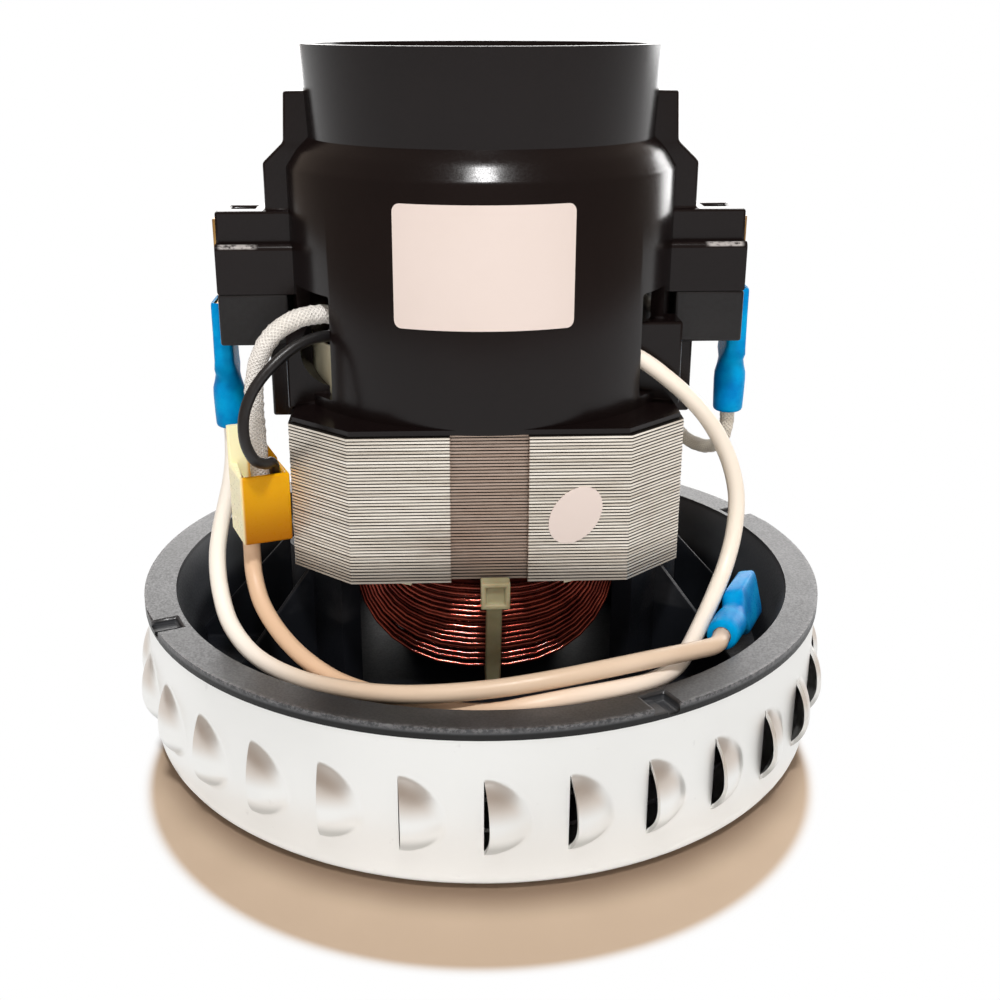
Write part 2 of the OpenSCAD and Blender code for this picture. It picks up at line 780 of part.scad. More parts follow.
module slot_liners() {
    color("cornsilk") {
        slot_liner(liner_rise);
        rotate([0, 0, 180]) {
            slot_liner(liner_rise);
            liner_flap();
        }
        mirror([1, 0, 0]) slot_liner(liner_rise);
        mirror([0, 1, 0]) slot_liner(liner_rise);
    }
}

// Field windings

// Point of a loop of the front winding. Step runs from 0 to the rings of one loop: down the
// left slot, through the lower end turn, up the right slot and back through the upper one.
// Foot holds the place in the slot, low and high the reach and the depth of the end turns.
function loop_point(step, foot, low, high) =
    let (
        slot_rings = 3,
        turn_rings = coil_loop_rings / 2 - slot_rings,
        up = step >= coil_loop_rings / 2,
        s = up ? step - coil_loop_rings / 2 : step,
        hand = up ? 1 : -1,
        in_slot = s < slot_rings,
        a = 180 * (s - slot_rings) / turn_rings,
        end = up ? high : low,
        start_z = up ? coil_low_z : coil_high_z,
        turn_z = up ? coil_high_z : coil_low_z
    )
    in_slot
        ? [hand * foot.x, -foot.y, between(start_z, turn_z, s / slot_rings)]
        : [
            hand * foot.x * cos(a),
            -between(foot.y, end.y, pow(sin(a), 2)),
            turn_z + hand * end.x * sin(a)
        ];

// Place of the loops across the layer, from the pole outwards
function winding_point(share, step) = loop_point(
    step,
    polar(coil_r, between(coil_a0, coil_a1, share)),
    [between(coil_first, coil_drop, share), between(slot_y + 2.4, slot_y - coil_tuck, share)],
    [between(coil_first, coil_rise, share), between(slot_y + 1.2, slot_y - 5.8, share)]
);
winding_path = [
    for (i = [1 : coil_loops * coil_loop_rings + 3])
        winding_point(i / (coil_loops * coil_loop_rings), i % coil_loop_rings)
];

// Least gap of the winding to itself, between points at least half a loop apart
function winding_gap() = min([
    for (i = [0 : len(winding_path) - 1], j = [i + coil_loop_rings / 2 : 1 : len(winding_path) - 1])
        norm(winding_path[i] - winding_path[j])
]) - coil_wire_d;

module field_winding() {
    echo(winding_gap = winding_gap());
    tube(winding_path, coil_wire_d, coil_sides);
}

module field_winding_front() {
    color("#8a3b22") field_winding();
}

module field_winding_rear() {
    color("#8a3b22") rotate([0, 0, 180]) field_winding();
}

// Corners of the inner layers: two behind the outer layer, two towards the armature
function core_corner(step, k) = [
    loop_point(step, polar(coil_r - core_inset, coil_a0 - 1),
        [coil_first - 0.5, slot_y + 1.4], [coil_first - 0.5, slot_y + 0.2]),
    loop_point(step, polar(coil_r - core_inset, coil_a1 + 1),
        [coil_drop - 1.3, slot_y - coil_tuck - 0.8], [coil_rise - 1.2, slot_y - 6.6]),
    loop_point(step, polar(core_in_r, coil_a1 + 2),
        [coil_drop - 3, core_in_r - 3.4], [coil_rise - 2.6, core_in_r - 3.6]),
    loop_point(step, polar(core_in_r, coil_a0 - 2),
        [coil_first - 0.5, core_in_r - 3], [coil_first - 0.5, core_in_r - 3])
][k];

module field_core() {
    corners = 4;
    polyhedron(
        [for (i = [0 : coil_loop_rings - 1], k = [0 : corners - 1]) core_corner(i, k)],
        [
            for (i = [0 : coil_loop_rings - 1], k = [0 : corners - 1])
                let (
                    j = (i + 1) % coil_loop_rings, m = (k + 1) % corners,
                    a = i * corners + k, b = i * corners + m,
                    c = j * corners + k, d = j * corners + m
                )
                for (face = [[a, c, d], [a, d, b]]) face
        ]
    );
}

module field_core_front() {
    color("#6e2f1d") field_core();
}

module field_core_rear() {
    color("#6e2f1d") rotate([0, 0, 180]) field_core();
}

// Strap round the lower end turn, with its head in the recess of the stack
module cable_tie() {
    slack = 0.4;
    head = [tie_head_w, tie_head_d, tie_head_h];
    head_y = stator_hd - recess_d + slack;
    head_z = stator_z - tie_head_drop;
    neck_z = 3;
    front_y = slot_y + 2.4 + coil_wire_d / 2 + slack;
    low_y = slot_y - coil_tuck + coil_wire_d / 2 + slack;
    low_z = coil_low_z - coil_drop - coil_wire_d / 2 - slack;
    back_y = core_in_r - 3.6 - slack;
    top_z = coil_low_z - slack;
    loop = [
        [-front_y, top_z], [-front_y, coil_low_z - coil_first], [-low_y, low_z],
        [-back_y, low_z + 2], [-back_y, top_z]
    ];
    translate([tie_x - tie_w / 2, 0, 0]) rotate([90, 0, 90]) linear_extrude(tie_w) difference() {
        offset(delta = tie_t) polygon(loop);
        polygon(loop);
    }
    translate([tie_x - head.x / 2, -head_y - head.y, head_z]) cube(head);
    translate([tie_x - tie_w / 2, -head_y - cut, head_z])
        cube([tie_w, head_y - front_y + cut - tie_t / 2, neck_z]);
}

module cable_tie_front() {
    color("ivory") cable_tie();
}

module cable_tie_rear() {
    color("ivory") rotate([0, 0, 180]) cable_tie();
}

// Top casing

module casing_body() {
    rotate_extrude() polygon([
        [0, stator_top], [casing_r, stator_top], [casing_r, barrel_top],
        [neck_foot_r, shoulder_top], [neck_r, casing_top], [0, casing_top]
    ]);
}

module casing_hollow() {
    inside_step = 1;
    rotate_extrude() polygon([
        [0, stator_top - cut], [casing_in_r, stator_top - cut], [casing_in_r, barrel_top - inside_step],
        [neck_foot_r - casing_wall, shoulder_top - inside_step / 2],
        [neck_r - casing_wall, casing_top + cut], [0, casing_top + cut]
    ]);
}

// Air windows, wider where the wires of the winding come out
module casing_windows() {
    for (turn = [0, 180]) rotate([0, 0, turn]) translate([0, 0, stator_top + window_sill])
        linear_extrude(window_h) {
            sector(casing_r + cut, casing_in_r - cut, wide_window_a0, window_a1);
            sector(casing_r + cut, casing_in_r - cut, -window_a1, -window_a0);
        }
}

module casing_foot() {
    foot_inset = 0.6;
    translate([0, 0, stator_top]) linear_extrude(foot_t) polygon(stator_outline(foot_inset, 0));
}

// Posts round the stator screws, two of them scooped out beside the wires
module casing_posts() {
    post_in = 12;
    scoop_r = 6;
    scoop_x = screw_x - 5.1;
    scoop_z = stator_top + 9.6;
    for (sx = [left, right], sy = [-1, 1]) difference() {
        translate([sx * (post_out - post_in / 2), sy * (post_y0 + post_y1) / 2, stator_top])
            post([post_in, post_y1 - post_y0, post_h]);
        if (sx == sy) translate([sx * scoop_x, 0, scoop_z]) rotate([90, 0, 0])
            cylinder(r = scoop_r, h = 2 * (post_y1 + cut), center = true);
    }
}

// Tongue under the right brush cap, which hooks over the side of the stack
module casing_tongue() {
    tongue = [4, 12];
    tongue_drop = 4;
    tongue_gap = 0.3;
    translate([stator_hw + tongue_gap, -tongue.y / 2, stator_top - tongue_drop])
        cube([tongue.x, tongue.y, parting_z - cap_h - stator_top + tongue_drop]);
}

// Upper half of the right brush housing
module brush_housing() {
    root_x = casing_in_r - cut;
    translate([root_x, -block_w / 2, parting_z]) cube([block_x - root_x, block_w, block_step_z - parting_z]);
    translate([root_x, -block_top_w / 2, parting_z])
        cube([block_x - root_x, block_top_w, block_top - parting_z]);
}

// Fin that runs from the brush housing up beside the neck
module casing_fin() {
    fin_top = shoulder_top + neck_h / 2;
    root_x = neck_foot_r - casing_wall / 2;
    fin_reach = casing_r + 3.4;
    rotate([90, 0, 0]) linear_extrude(fin_w, center = true) polygon([
        [root_x, block_top - cut], [fin_reach, block_top - cut], [fin_reach, barrel_top + 0.6],
        [casing_r, shoulder_top - 0.8], [casing_r - 0.4, fin_top], [root_x, fin_top]
    ]);
}

module bearing_cup() {
    arm_w = 5;
    arm_h = 6;
    translate([0, 0, cup_z]) cylinder(r = cup_r, h = cup_top - cup_z);
    for (a = [45 : 90 : 315]) rotate([0, 0, a])
        translate([casing_r / 2, 0, cup_z]) post([casing_r, arm_w, arm_h]);
}

module casing_cuts() {
    roof_hole_r = journal_r + 2;
    pocket = [4, 4, 2];
    translate([0, 0, cup_z - cut])
        cylinder(r = cup_seat_r, h = upper_bearing_z + bearing_w + fit_gap - cup_z + cut);
    translate([0, 0, cup_z]) cylinder(r = roof_hole_r, h = cup_top - cup_z + cut);
    at_screws() translate([0, 0, stator_top - cut])
        cylinder(r = screw_d / 2 + thread_gap, h = screw_top - stator_top + 2 * cut);
    for (side = [left, right]) on_side(side) {
        translate([sleeve_x, -channel_w / 2, parting_z - cut])
            cube([block_x - sleeve_x + cut, channel_w, channel_top - parting_z + cut]);
        translate([block_x - pocket.x, 0, block_top - pocket.z]) post([pocket.x, pocket.y, pocket.z + cut]);
    }
}

module top_casing() {
    color("#1c1c1f") difference() {
        union() {
            difference() {
                casing_body();
                casing_windows();
            }
            casing_foot();
            casing_posts();
            for (side = [left, right]) on_side(side) {
                brush_housing();
                casing_fin();
                casing_tongue();
            }
        }
        difference() {
            casing_hollow();
            bearing_cup();
        }
        casing_cuts();
    }
}

// Labels

module rating_label() {
    label_a = -91.5;
    half_a = label_w / casing_r * 90 / PI;
    label_z = barrel_top - label_drop - label_h;
    color("mistyrose") translate([0, 0, label_z]) linear_extrude(label_h)
        sector(casing_r + bearing_fit + label_t, casing_r + bearing_fit, label_a - half_a, label_a + half_a);
}

module oval_sticker() {
    place = [between(recess_w / 2, stator_flat, 0.465), -stator_hd, stator_z + 0.4625 * stack_h];
    lean = 55;
    points = 48;
    color("mistyrose") translate(place) rotate([90, 0, 0]) linear_extrude(label_t) rotate([0, 0, lean])
        polygon([for (i = [0 : points - 1])
            [sticker_l / 2 * cos(360 * i / points), sticker_w / 2 * sin(360 * i / points)]]);
}

// Brush gear

module brush_cap(side) {
    recess_w = sleeve_w + 0.8;
    recess_x = tab_x - sleeve_t / 2 - 0.3;
    color("#222225") on_side(side) translate([0, 0, parting_z - cap_h]) difference() {
        translate([cap_x, -block_w / 2, 0]) cube([block_x - cap_x, block_w, cap_h]);
        translate([recess_x, -recess_w / 2, -cut]) cube([block_x, recess_w, cap_h + 2 * cut]);
    }
}

module brush_cap_left() {
    brush_cap(left);
}

module brush_cap_right() {
    brush_cap(right);
}

module brush_sleeve(side) {
    sleeve_len = block_x - sleeve_x;
    color("goldenrod") on_side(side) translate([sleeve_x, 0, brush_z]) rotate([90, 0, 90])
        linear_extrude(sleeve_len) difference() {
            square([brush_sleeve_w, brush_sleeve_h], center = true);
            square([brush_hole_w, brush_hole_h], center = true);
        }
}

module brush_sleeve_left() {
    brush_sleeve(left);
}

module brush_sleeve_right() {
    brush_sleeve(right);
}

// Brush with its inner end ground to the curve of the commutator
module carbon_brush(side) {
    color("dimgray") on_side(side) difference() {
        translate([0, -brush_w / 2, brush_z - brush_h / 2]) cube([brush_x + brush_l, brush_w, brush_h]);
        translate([0, 0, brush_z - brush_h]) cylinder(r = brush_x, h = 2 * brush_h);
    }
}

module carbon_brush_left() {
    carbon_brush(left);
}

module carbon_brush_right() {
    carbon_brush(right);
}

module brush_spring(side) {
    spring_r = brush_w / 2 - 0.6;
    wire_t = 0.6;
    color("lightsteelblue") on_side(side) translate([brush_x + brush_l, 0, brush_z]) rotate([0, 90, 0])
        ring(spring_r, spring_r - wire_t, spring_l);
}

module brush_spring_left() {
    brush_spring(left);
}

module brush_spring_right() {
    brush_spring(right);
}

module brush_terminal(side) {
    color("peru") on_side(side) translate([block_x, 0, 0]) {
        translate([0, -plate_w / 2, plate_z]) cube([tab_t, plate_w, plate_top - plate_z]);
        translate([0, -tab_w / 2, tab_z]) cube([tab_t, tab_w, plate_z - tab_z]);
    }
}

module brush_terminal_left() {
    brush_terminal(left);
}

module brush_terminal_right() {
    brush_terminal(right);
}

// Insulating sleeve, from its wire end upwards
module terminal_sleeve() {
    flat_z = crimp_l + sleeve_flare;
    slice = 0.1;
    difference() {
        union() {
            cylinder(d = barrel_d, h = crimp_l);
            hull() {
                translate([0, 0, crimp_l - slice]) cylinder(d = barrel_d, h = slice, $fn = 32);
                translate([0, 0, flat_z]) post([sleeve_t, sleeve_w, slice]);
            }
            translate([0, 0, flat_z]) post([sleeve_t, sleeve_w, sleeve_l - flat_z]);
        }
        translate([0, 0, -cut]) cylinder(r = crimp_r + fit_gap, h = flat_z + cut);
        translate([0, 0, flat_z - fit_gap])
            post([receptacle_t + 2 * fit_gap, receptacle_w + 2 * fit_gap, sleeve_l]);
    }
}

// Brass receptacle: a crimped barrel and a box that grips the tab
module receptacle() {
    flat_z = crimp_l + sleeve_flare;
    difference() {
        union() {
            cylinder(r = crimp_r, h = flat_z);
            translate([0, 0, flat_z]) post([receptacle_t, receptacle_w, receptacle_l - flat_z]);
        }
        translate([0, 0, flat_z - cut]) post([slot_t, slot_w, receptacle_l]);
    }
}

module at_left_terminal() {
    translate([-tab_x, 0, left_terminal_z]) children();
}

module at_right_terminal() {
    translate([tab_x, 0, right_terminal_z]) children();
}

module at_lead_terminal() {
    tilt = acos(lead_tip_way.z / norm(lead_tip_way));
    yaw = atan2(lead_tip_way.y, lead_tip_way.x);
    translate(lead_tip) rotate([0, tilt, yaw]) rotate([0, 0, lead_tip_roll]) children();
}

module terminal_sleeve_left() {
    color("deepskyblue") at_left_terminal() terminal_sleeve();
}

module terminal_sleeve_right() {
    color("deepskyblue") at_right_terminal() terminal_sleeve();
}

module terminal_sleeve_lead() {
    color("deepskyblue") at_lead_terminal() terminal_sleeve();
}

module receptacle_left() {
    color("khaki") at_left_terminal() receptacle();
}

module receptacle_right() {
    color("khaki") at_right_terminal() receptacle();
}

module receptacle_lead() {
    color("khaki") at_lead_terminal() receptacle();
}

// Wiring

module connector_housing() {
    inner = [connector_w - 2 * connector_wall, connector_d - 2 * connector_wall, connector_pocket + cut];
    color("gold") translate(connector_corner) rotate([0, 0, connector_yaw]) {
        difference() {
            cube([connector_w, connector_d, connector_h]);
            translate([connector_wall, connector_wall, connector_h - connector_pocket]) cube(inner);
        }
        translate([0, connector_d, 0]) rotate([90, 0, 0]) linear_extrude(connector_wall)
            polygon([
                [0, connector_h], [connector_w, connector_h],
                [connector_w / 2, connector_h + connector_back_rise], [0, connector_h + connector_back_rise]
            ]);
    }
}

module black_wire() {
    color("#1a1a1a") wire(black_route, black_d);
}

module sleeved_wire() {
    color("whitesmoke") wire(sleeved_route, sleeved_d);
}

module link_wire() {
    color("antiquewhite") wire(link_route, lead_d);
}

module lead_wire() {
    color("antiquewhite") wire(lead_route, lead_d);
}

module brush_wire_right() {
    color("gainsboro") wire(brush_wire_route, brush_wire_d);
}

// Bearings

function ball_ring_r(bore_r) = (bore_r + bearing_r) / 2;

// Section of a race ring, with the groove for the balls
module race(r0, r1, bore_r) {
    rotate_extrude() difference() {
        translate([r0, 0]) square([r1 - r0, bearing_w]);
        translate([ball_ring_r(bore_r), bearing_w / 2]) circle(ball_d / 2 + ball_gap);
    }
}

module bearing_outer(bore_r) {
    color("lightgray") race(ball_ring_r(bore_r) + bearing_shoulder, bearing_r, bore_r);
}

module bearing_inner(bore_r) {
    color("lightgray") race(bore_r, ball_ring_r(bore_r) - bearing_shoulder, bore_r);
}

module each_ball(bore_r) {
    for (i = [0 : ball_n - 1]) rotate([0, 0, 360 * i / ball_n])
        translate([ball_ring_r(bore_r), 0, bearing_w / 2]) children();
}

// Balls in a crown cage
module bearing_balls(bore_r) {
    cage_t = 1.6;
    cage_floor = 0.9;
    cage_h = 2.5;
    cage_r = ball_ring_r(bore_r) + cage_t / 2;
    color("silver") each_ball(bore_r) sphere(d = ball_d);
    color("tan") difference() {
        translate([0, 0, bearing_w / 2 - ball_d / 2 - cage_floor]) ring(cage_r, cage_r - cage_t, cage_h);
        each_ball(bore_r) sphere(r = ball_d / 2 + ball_gap);
    }
}

module lower_bearing_outer() {
    translate([0, 0, floor_top]) bearing_outer(shaft_r);
}

module lower_bearing_inner() {
    translate([0, 0, floor_top]) bearing_inner(shaft_r);
}

module lower_bearing_balls() {
    translate([0, 0, floor_top]) bearing_balls(shaft_r);
}

module upper_bearing_outer() {
    translate([0, 0, upper_bearing_z]) bearing_outer(journal_r);
}

module upper_bearing_inner() {
    translate([0, 0, upper_bearing_z]) bearing_inner(journal_r);
}

module upper_bearing_balls() {
    translate([0, 0, upper_bearing_z]) bearing_balls(journal_r);
}

module upper_bearing_ring() {
    color("#101010") translate([0, 0, upper_bearing_z])
        ring(bearing_r + bearing_fit + rubber_t, bearing_r + bearing_fit, bearing_w);
}

// Rotor

module shaft() {
    color("lightgray") {
        translate([0, 0, shaft_z]) cylinder(r = shaft_r, h = journal_z - shaft_z);
        translate([0, 0, journal_z]) cylinder(r = journal_r, h = shaft_top - journal_z);
    }
}

// Spacer between the clamped impeller and the lower bearing
module shaft_spacer() {
    spacer_z = back_z + impeller_t + washer_t;
    color("gray") translate([0, 0, spacer_z])
        ring(ball_ring_r(shaft_r) - bearing_shoulder, shaft_r, floor_top - spacer_z);
}

slot_pitch_r = armature_r - 3.5;
slot_hole_r = 2.2;

module armature_core() {
    slot_mouth = 2;
    color("silver") translate([0, 0, stator_z]) linear_extrude(stack_h) difference() {
        circle(armature_r);
        circle(shaft_r);
        for (i = [0 : armature_slots - 1]) rotate([0, 0, 360 * i / armature_slots]) {
            translate([slot_pitch_r, 0]) circle(slot_hole_r);
            translate([slot_pitch_r, -slot_mouth / 2]) square([armature_r, slot_mouth]);
        }
    }
}

// Wire in the slots, with a rounded head at each end of the stack
module armature_winding() {
    wire_gap = 0.2;
    round_r = 3;
    head_w = end_winding_r - end_winding_in_r;
    color("#8a3b22") {
        for (i = [0 : armature_slots - 1]) rotate([0, 0, 360 * i / armature_slots])
            translate([slot_pitch_r, 0, stator_z - cut]) cylinder(r = slot_hole_r - wire_gap, h = stack_h + 2 * cut);
        rotate_extrude() {
            translate([end_winding_in_r, stator_z - lower_winding_h + round_r])
                square([head_w, lower_winding_h - round_r]);
            translate([end_winding_in_r, stator_z - lower_winding_h]) square([head_w - round_r, round_r]);
            translate([end_winding_r - round_r, stator_z - lower_winding_h + round_r]) circle(round_r);
        }
        rotate_extrude() {
            translate([end_winding_in_r, stator_top]) square([head_w, upper_winding_h - round_r]);
            translate([end_winding_in_r, stator_top]) square([head_w - round_r, upper_winding_h]);
            translate([end_winding_r - round_r, stator_top + upper_winding_h - round_r]) circle(round_r);
        }
    }
}

module commutator() {
    bar_gap = 0.5;
    gap_depth = 1;
    color("#b5763c") translate([0, 0, brush_z - commutator_h / 2]) difference() {
        cylinder(r = commutator_r, h = commutator_h);
        translate([0, 0, -cut]) cylinder(r = shaft_r, h = commutator_h + 2 * cut);
        for (i = [0 : commutator_bars - 1]) rotate([0, 0, 360 * i / commutator_bars])
            translate([commutator_r - gap_depth, -bar_gap / 2, -cut])
                cube([gap_depth + cut, bar_gap, commutator_h + 2 * cut]);
    }
}

// Impeller

module impeller_back_plate() {
    color("lightgray") translate([0, 0, back_z]) ring(impeller_r, shaft_r, impeller_t);
}

// Upper face of the shroud lifted by a step, out to the edge of the impeller
module shroud_line(lift) {
    polygon([
        [shroud_eye_r, shroud_z + lift], [impeller_r, shroud_z + shroud_rise + lift],
        [impeller_r, back_z + cut], [shroud_eye_r, back_z + cut]
    ]);
}

module impeller_shroud() {
    color("lightgray") rotate_extrude() difference() {
        shroud_line(0);
        shroud_line(impeller_t);
        translate([0, back_z]) square([impeller_r + cut, 2 * cut]);
    }
}

// Curved sheet blades between the shroud and the back plate
module impeller_blades() {
    blade_start = shroud_eye_r + 1;
    blade_end = impeller_r - 1;
    color("silver") intersection() {
        translate([0, 0, shroud_z]) linear_extrude(back_z - shroud_z)
            for (i = [0 : blade_n - 1]) rotate([0, 0, 360 * i / blade_n]) intersection() {
                translate([blade_centre_share * impeller_r, 0]) difference() {
                    circle(blade_arc_r + impeller_t / 2);
                    circle(blade_arc_r - impeller_t / 2);
                }
                difference() {
                    circle(blade_end);
                    circle(blade_start);
                }
                translate([-impeller_r, 0]) square([2 * impeller_r, impeller_r]);
            }
        rotate_extrude() shroud_line(impeller_t + bearing_fit);
    }
}

module impeller_washers() {
    color("gray") for (z = [back_z - washer_t, back_z + impeller_t]) translate([0, 0, z])
        ring(washer_d / 2, shaft_r, washer_t);
}

module impeller_nut() {
    color("gray") translate([0, 0, nut_z]) difference() {
        cylinder(d = nut_af / cos(30), h = nut_h, $fn = 6);
        translate([0, 0, -cut]) cylinder(r = shaft_r, h = nut_h + 2 * cut);
    }
}

// Cooling fan in the neck
module cooling_fan() {
    hub_r = journal_r + 2.5;
    fan_blade_t = 1.2;
    fan_pitch = 35;
    blade_len = fan_r - hub_r + cut;
    chord = (fan_h - fan_blade_t) / sin(fan_pitch) * 0.9;
    color("#303034") translate([0, 0, fan_z]) difference() {
        union() {
            cylinder(r = hub_r, h = fan_h);
            intersection() {
                cylinder(r = fan_r, h = fan_h);
                for (i = [0 : fan_n - 1]) rotate([0, 0, 360 * i / fan_n])
                    translate([hub_r - cut + blade_len / 2, 0, fan_h / 2]) rotate([fan_pitch, 0, 0])
                        cube([blade_len + cut, chord, fan_blade_t], center = true);
            }
        }
        translate([0, 0, -cut]) cylinder(r = journal_r, h = fan_h + 2 * cut);
    }
}

module stator_screws() {
    color("lightgray") at_screws() {
        translate([0, 0, screw_seat_z - screw_head_h]) cylinder(r = screw_head_r, h = screw_head_h);
        translate([0, 0, screw_seat_z]) cylinder(d = screw_d, h = screw_top - screw_seat_z);
    }
}

fan_cover();
lower_frame();
stator_core();
slot_liners();
field_core_front();
field_core_rear();
field_winding_front();
field_winding_rear();
cable_tie_front();
cable_tie_rear();
top_casing();
rating_label();
oval_sticker();
brush_cap_left();
brush_cap_right();
brush_sleeve_left();
brush_sleeve_right();
carbon_brush_left();
carbon_brush_right();
brush_spring_left();
brush_spring_right();
brush_terminal_left();
brush_terminal_right();
terminal_sleeve_left();
terminal_sleeve_right();
terminal_sleeve_lead();
receptacle_left();
receptacle_right();
receptacle_lead();
connector_housing();
black_wire();
sleeved_wire();
link_wire();
lead_wire();
brush_wire_right();
lower_bearing_outer();
upper_bearing_outer();
lower_bearing_inner();
upper_bearing_inner();
lower_bearing_balls();
upper_bearing_balls();
upper_bearing_ring();
shaft();
shaft_spacer();
armature_core();
armature_winding();
commutator();
impeller_back_plate();
impeller_shroud();
impeller_blades();
impeller_washers();
impeller_nut();
cooling_fan();
stator_screws();
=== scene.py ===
"""Dressed scene of a vacuum motor unit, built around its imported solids.

The louvred cover, the bowl frame, the laminated stack with its coils, the moulded casing,
the brush gear, the terminals, the rotor and the wiring each have a class of their own.
All lengths are in metres, in the frame of the solids: the motor axis is Z and the bare
rating label faces -Y.
"""

from __future__ import annotations

import logging
import math
import random
from dataclasses import dataclass
from enum import Enum
from typing import Callable, Sequence

import bmesh
import bpy
from mathutils import Matrix, Vector

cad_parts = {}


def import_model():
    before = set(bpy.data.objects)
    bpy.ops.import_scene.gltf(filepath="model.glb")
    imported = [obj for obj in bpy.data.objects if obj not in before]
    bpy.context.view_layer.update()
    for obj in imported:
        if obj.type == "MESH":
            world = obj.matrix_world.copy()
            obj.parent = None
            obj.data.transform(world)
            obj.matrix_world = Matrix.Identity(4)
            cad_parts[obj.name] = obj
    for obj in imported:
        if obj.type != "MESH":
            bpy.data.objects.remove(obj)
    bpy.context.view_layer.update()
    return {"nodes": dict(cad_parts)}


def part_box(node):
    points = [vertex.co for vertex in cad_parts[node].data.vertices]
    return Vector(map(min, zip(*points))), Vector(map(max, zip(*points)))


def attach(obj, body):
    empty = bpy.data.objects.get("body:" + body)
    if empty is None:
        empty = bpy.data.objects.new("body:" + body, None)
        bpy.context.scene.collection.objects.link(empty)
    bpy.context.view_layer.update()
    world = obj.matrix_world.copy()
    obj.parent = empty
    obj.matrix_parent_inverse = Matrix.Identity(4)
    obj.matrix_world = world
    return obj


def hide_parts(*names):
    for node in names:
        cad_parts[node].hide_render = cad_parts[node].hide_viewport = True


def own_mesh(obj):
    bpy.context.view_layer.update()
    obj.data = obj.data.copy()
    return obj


log = logging.getLogger("vacuum_motor")

Color = tuple[float, float, float]
Point = tuple[float, float, float]
Span = tuple[float, float]
Shape = bmesh.types.BMesh
Vert = bmesh.types.BMVert
Edge = bmesh.types.BMEdge
Face = bmesh.types.BMFace
Part = list[Vert | Edge | Face]
Socket = bpy.types.NodeSocket
Piece = bpy.types.Object
Nodes = dict[str, Piece]

MM = 0.001
# Points nearer than these are one point, one seam, or on one face.
WELD = 0.000004
SEAM = 0.02 * MM
NEAR = 0.05 * MM
# Faces that bend less are flat, and edges that bend more are rounded where they have room.
FLAT_ANGLE = math.radians(0.6)
LEAST_BEND = math.radians(1)
ROUND_ANGLE = math.radians(32)
ROUND_ROOM = 2.4
ROUND_FACES = 2
# Most of a noise lies in this range.
SPREAD = (0.3, 0.7)
WIRE_SIDES = 8


class Body(Enum):
    """Bodies of the unit that pieces ride on."""

    HOUSING = "housing"
    ROTOR = "rotor"
    LOWER_BALLS = "lower_balls"
    UPPER_BALLS = "upper_balls"
    BRUSH_LEFT = "brush_left"
    BRUSH_RIGHT = "brush_right"


class Side(Enum):
    """Side of the motor axis, as a sign along X."""

    LEFT = -1
    RIGHT = 1

    @property
    def word(self) -> str:
        """Name of the side, as the solids use it."""
        return self.name.lower()

    @property
    def brush(self) -> Body:
        """Body of the side's carbon brush."""
        return Body[f"BRUSH_{self.name}"]


class WireEnd(Enum):
    """What the far end of a wire goes into."""

    CONNECTOR = "connector"
    HOUSING = "object"


def linear(value: int) -> float:
    """Linear share of a paint value from 0 to 255, by the sRGB curve."""
    share = value / 255
    return share / 12.92 if share <= 0.04045 else ((share + 0.055) / 1.055) ** 2.4


def tint(red: int, green: int, blue: int) -> Color:
    """Turn a paint value from 0 to 255 into a linear colour.

    Args:
        red: Red share.
        green: Green share.
        blue: Blue share.

    Returns:
        The linear colour that renders as that value.
    """
    return linear(red), linear(green), linear(blue)


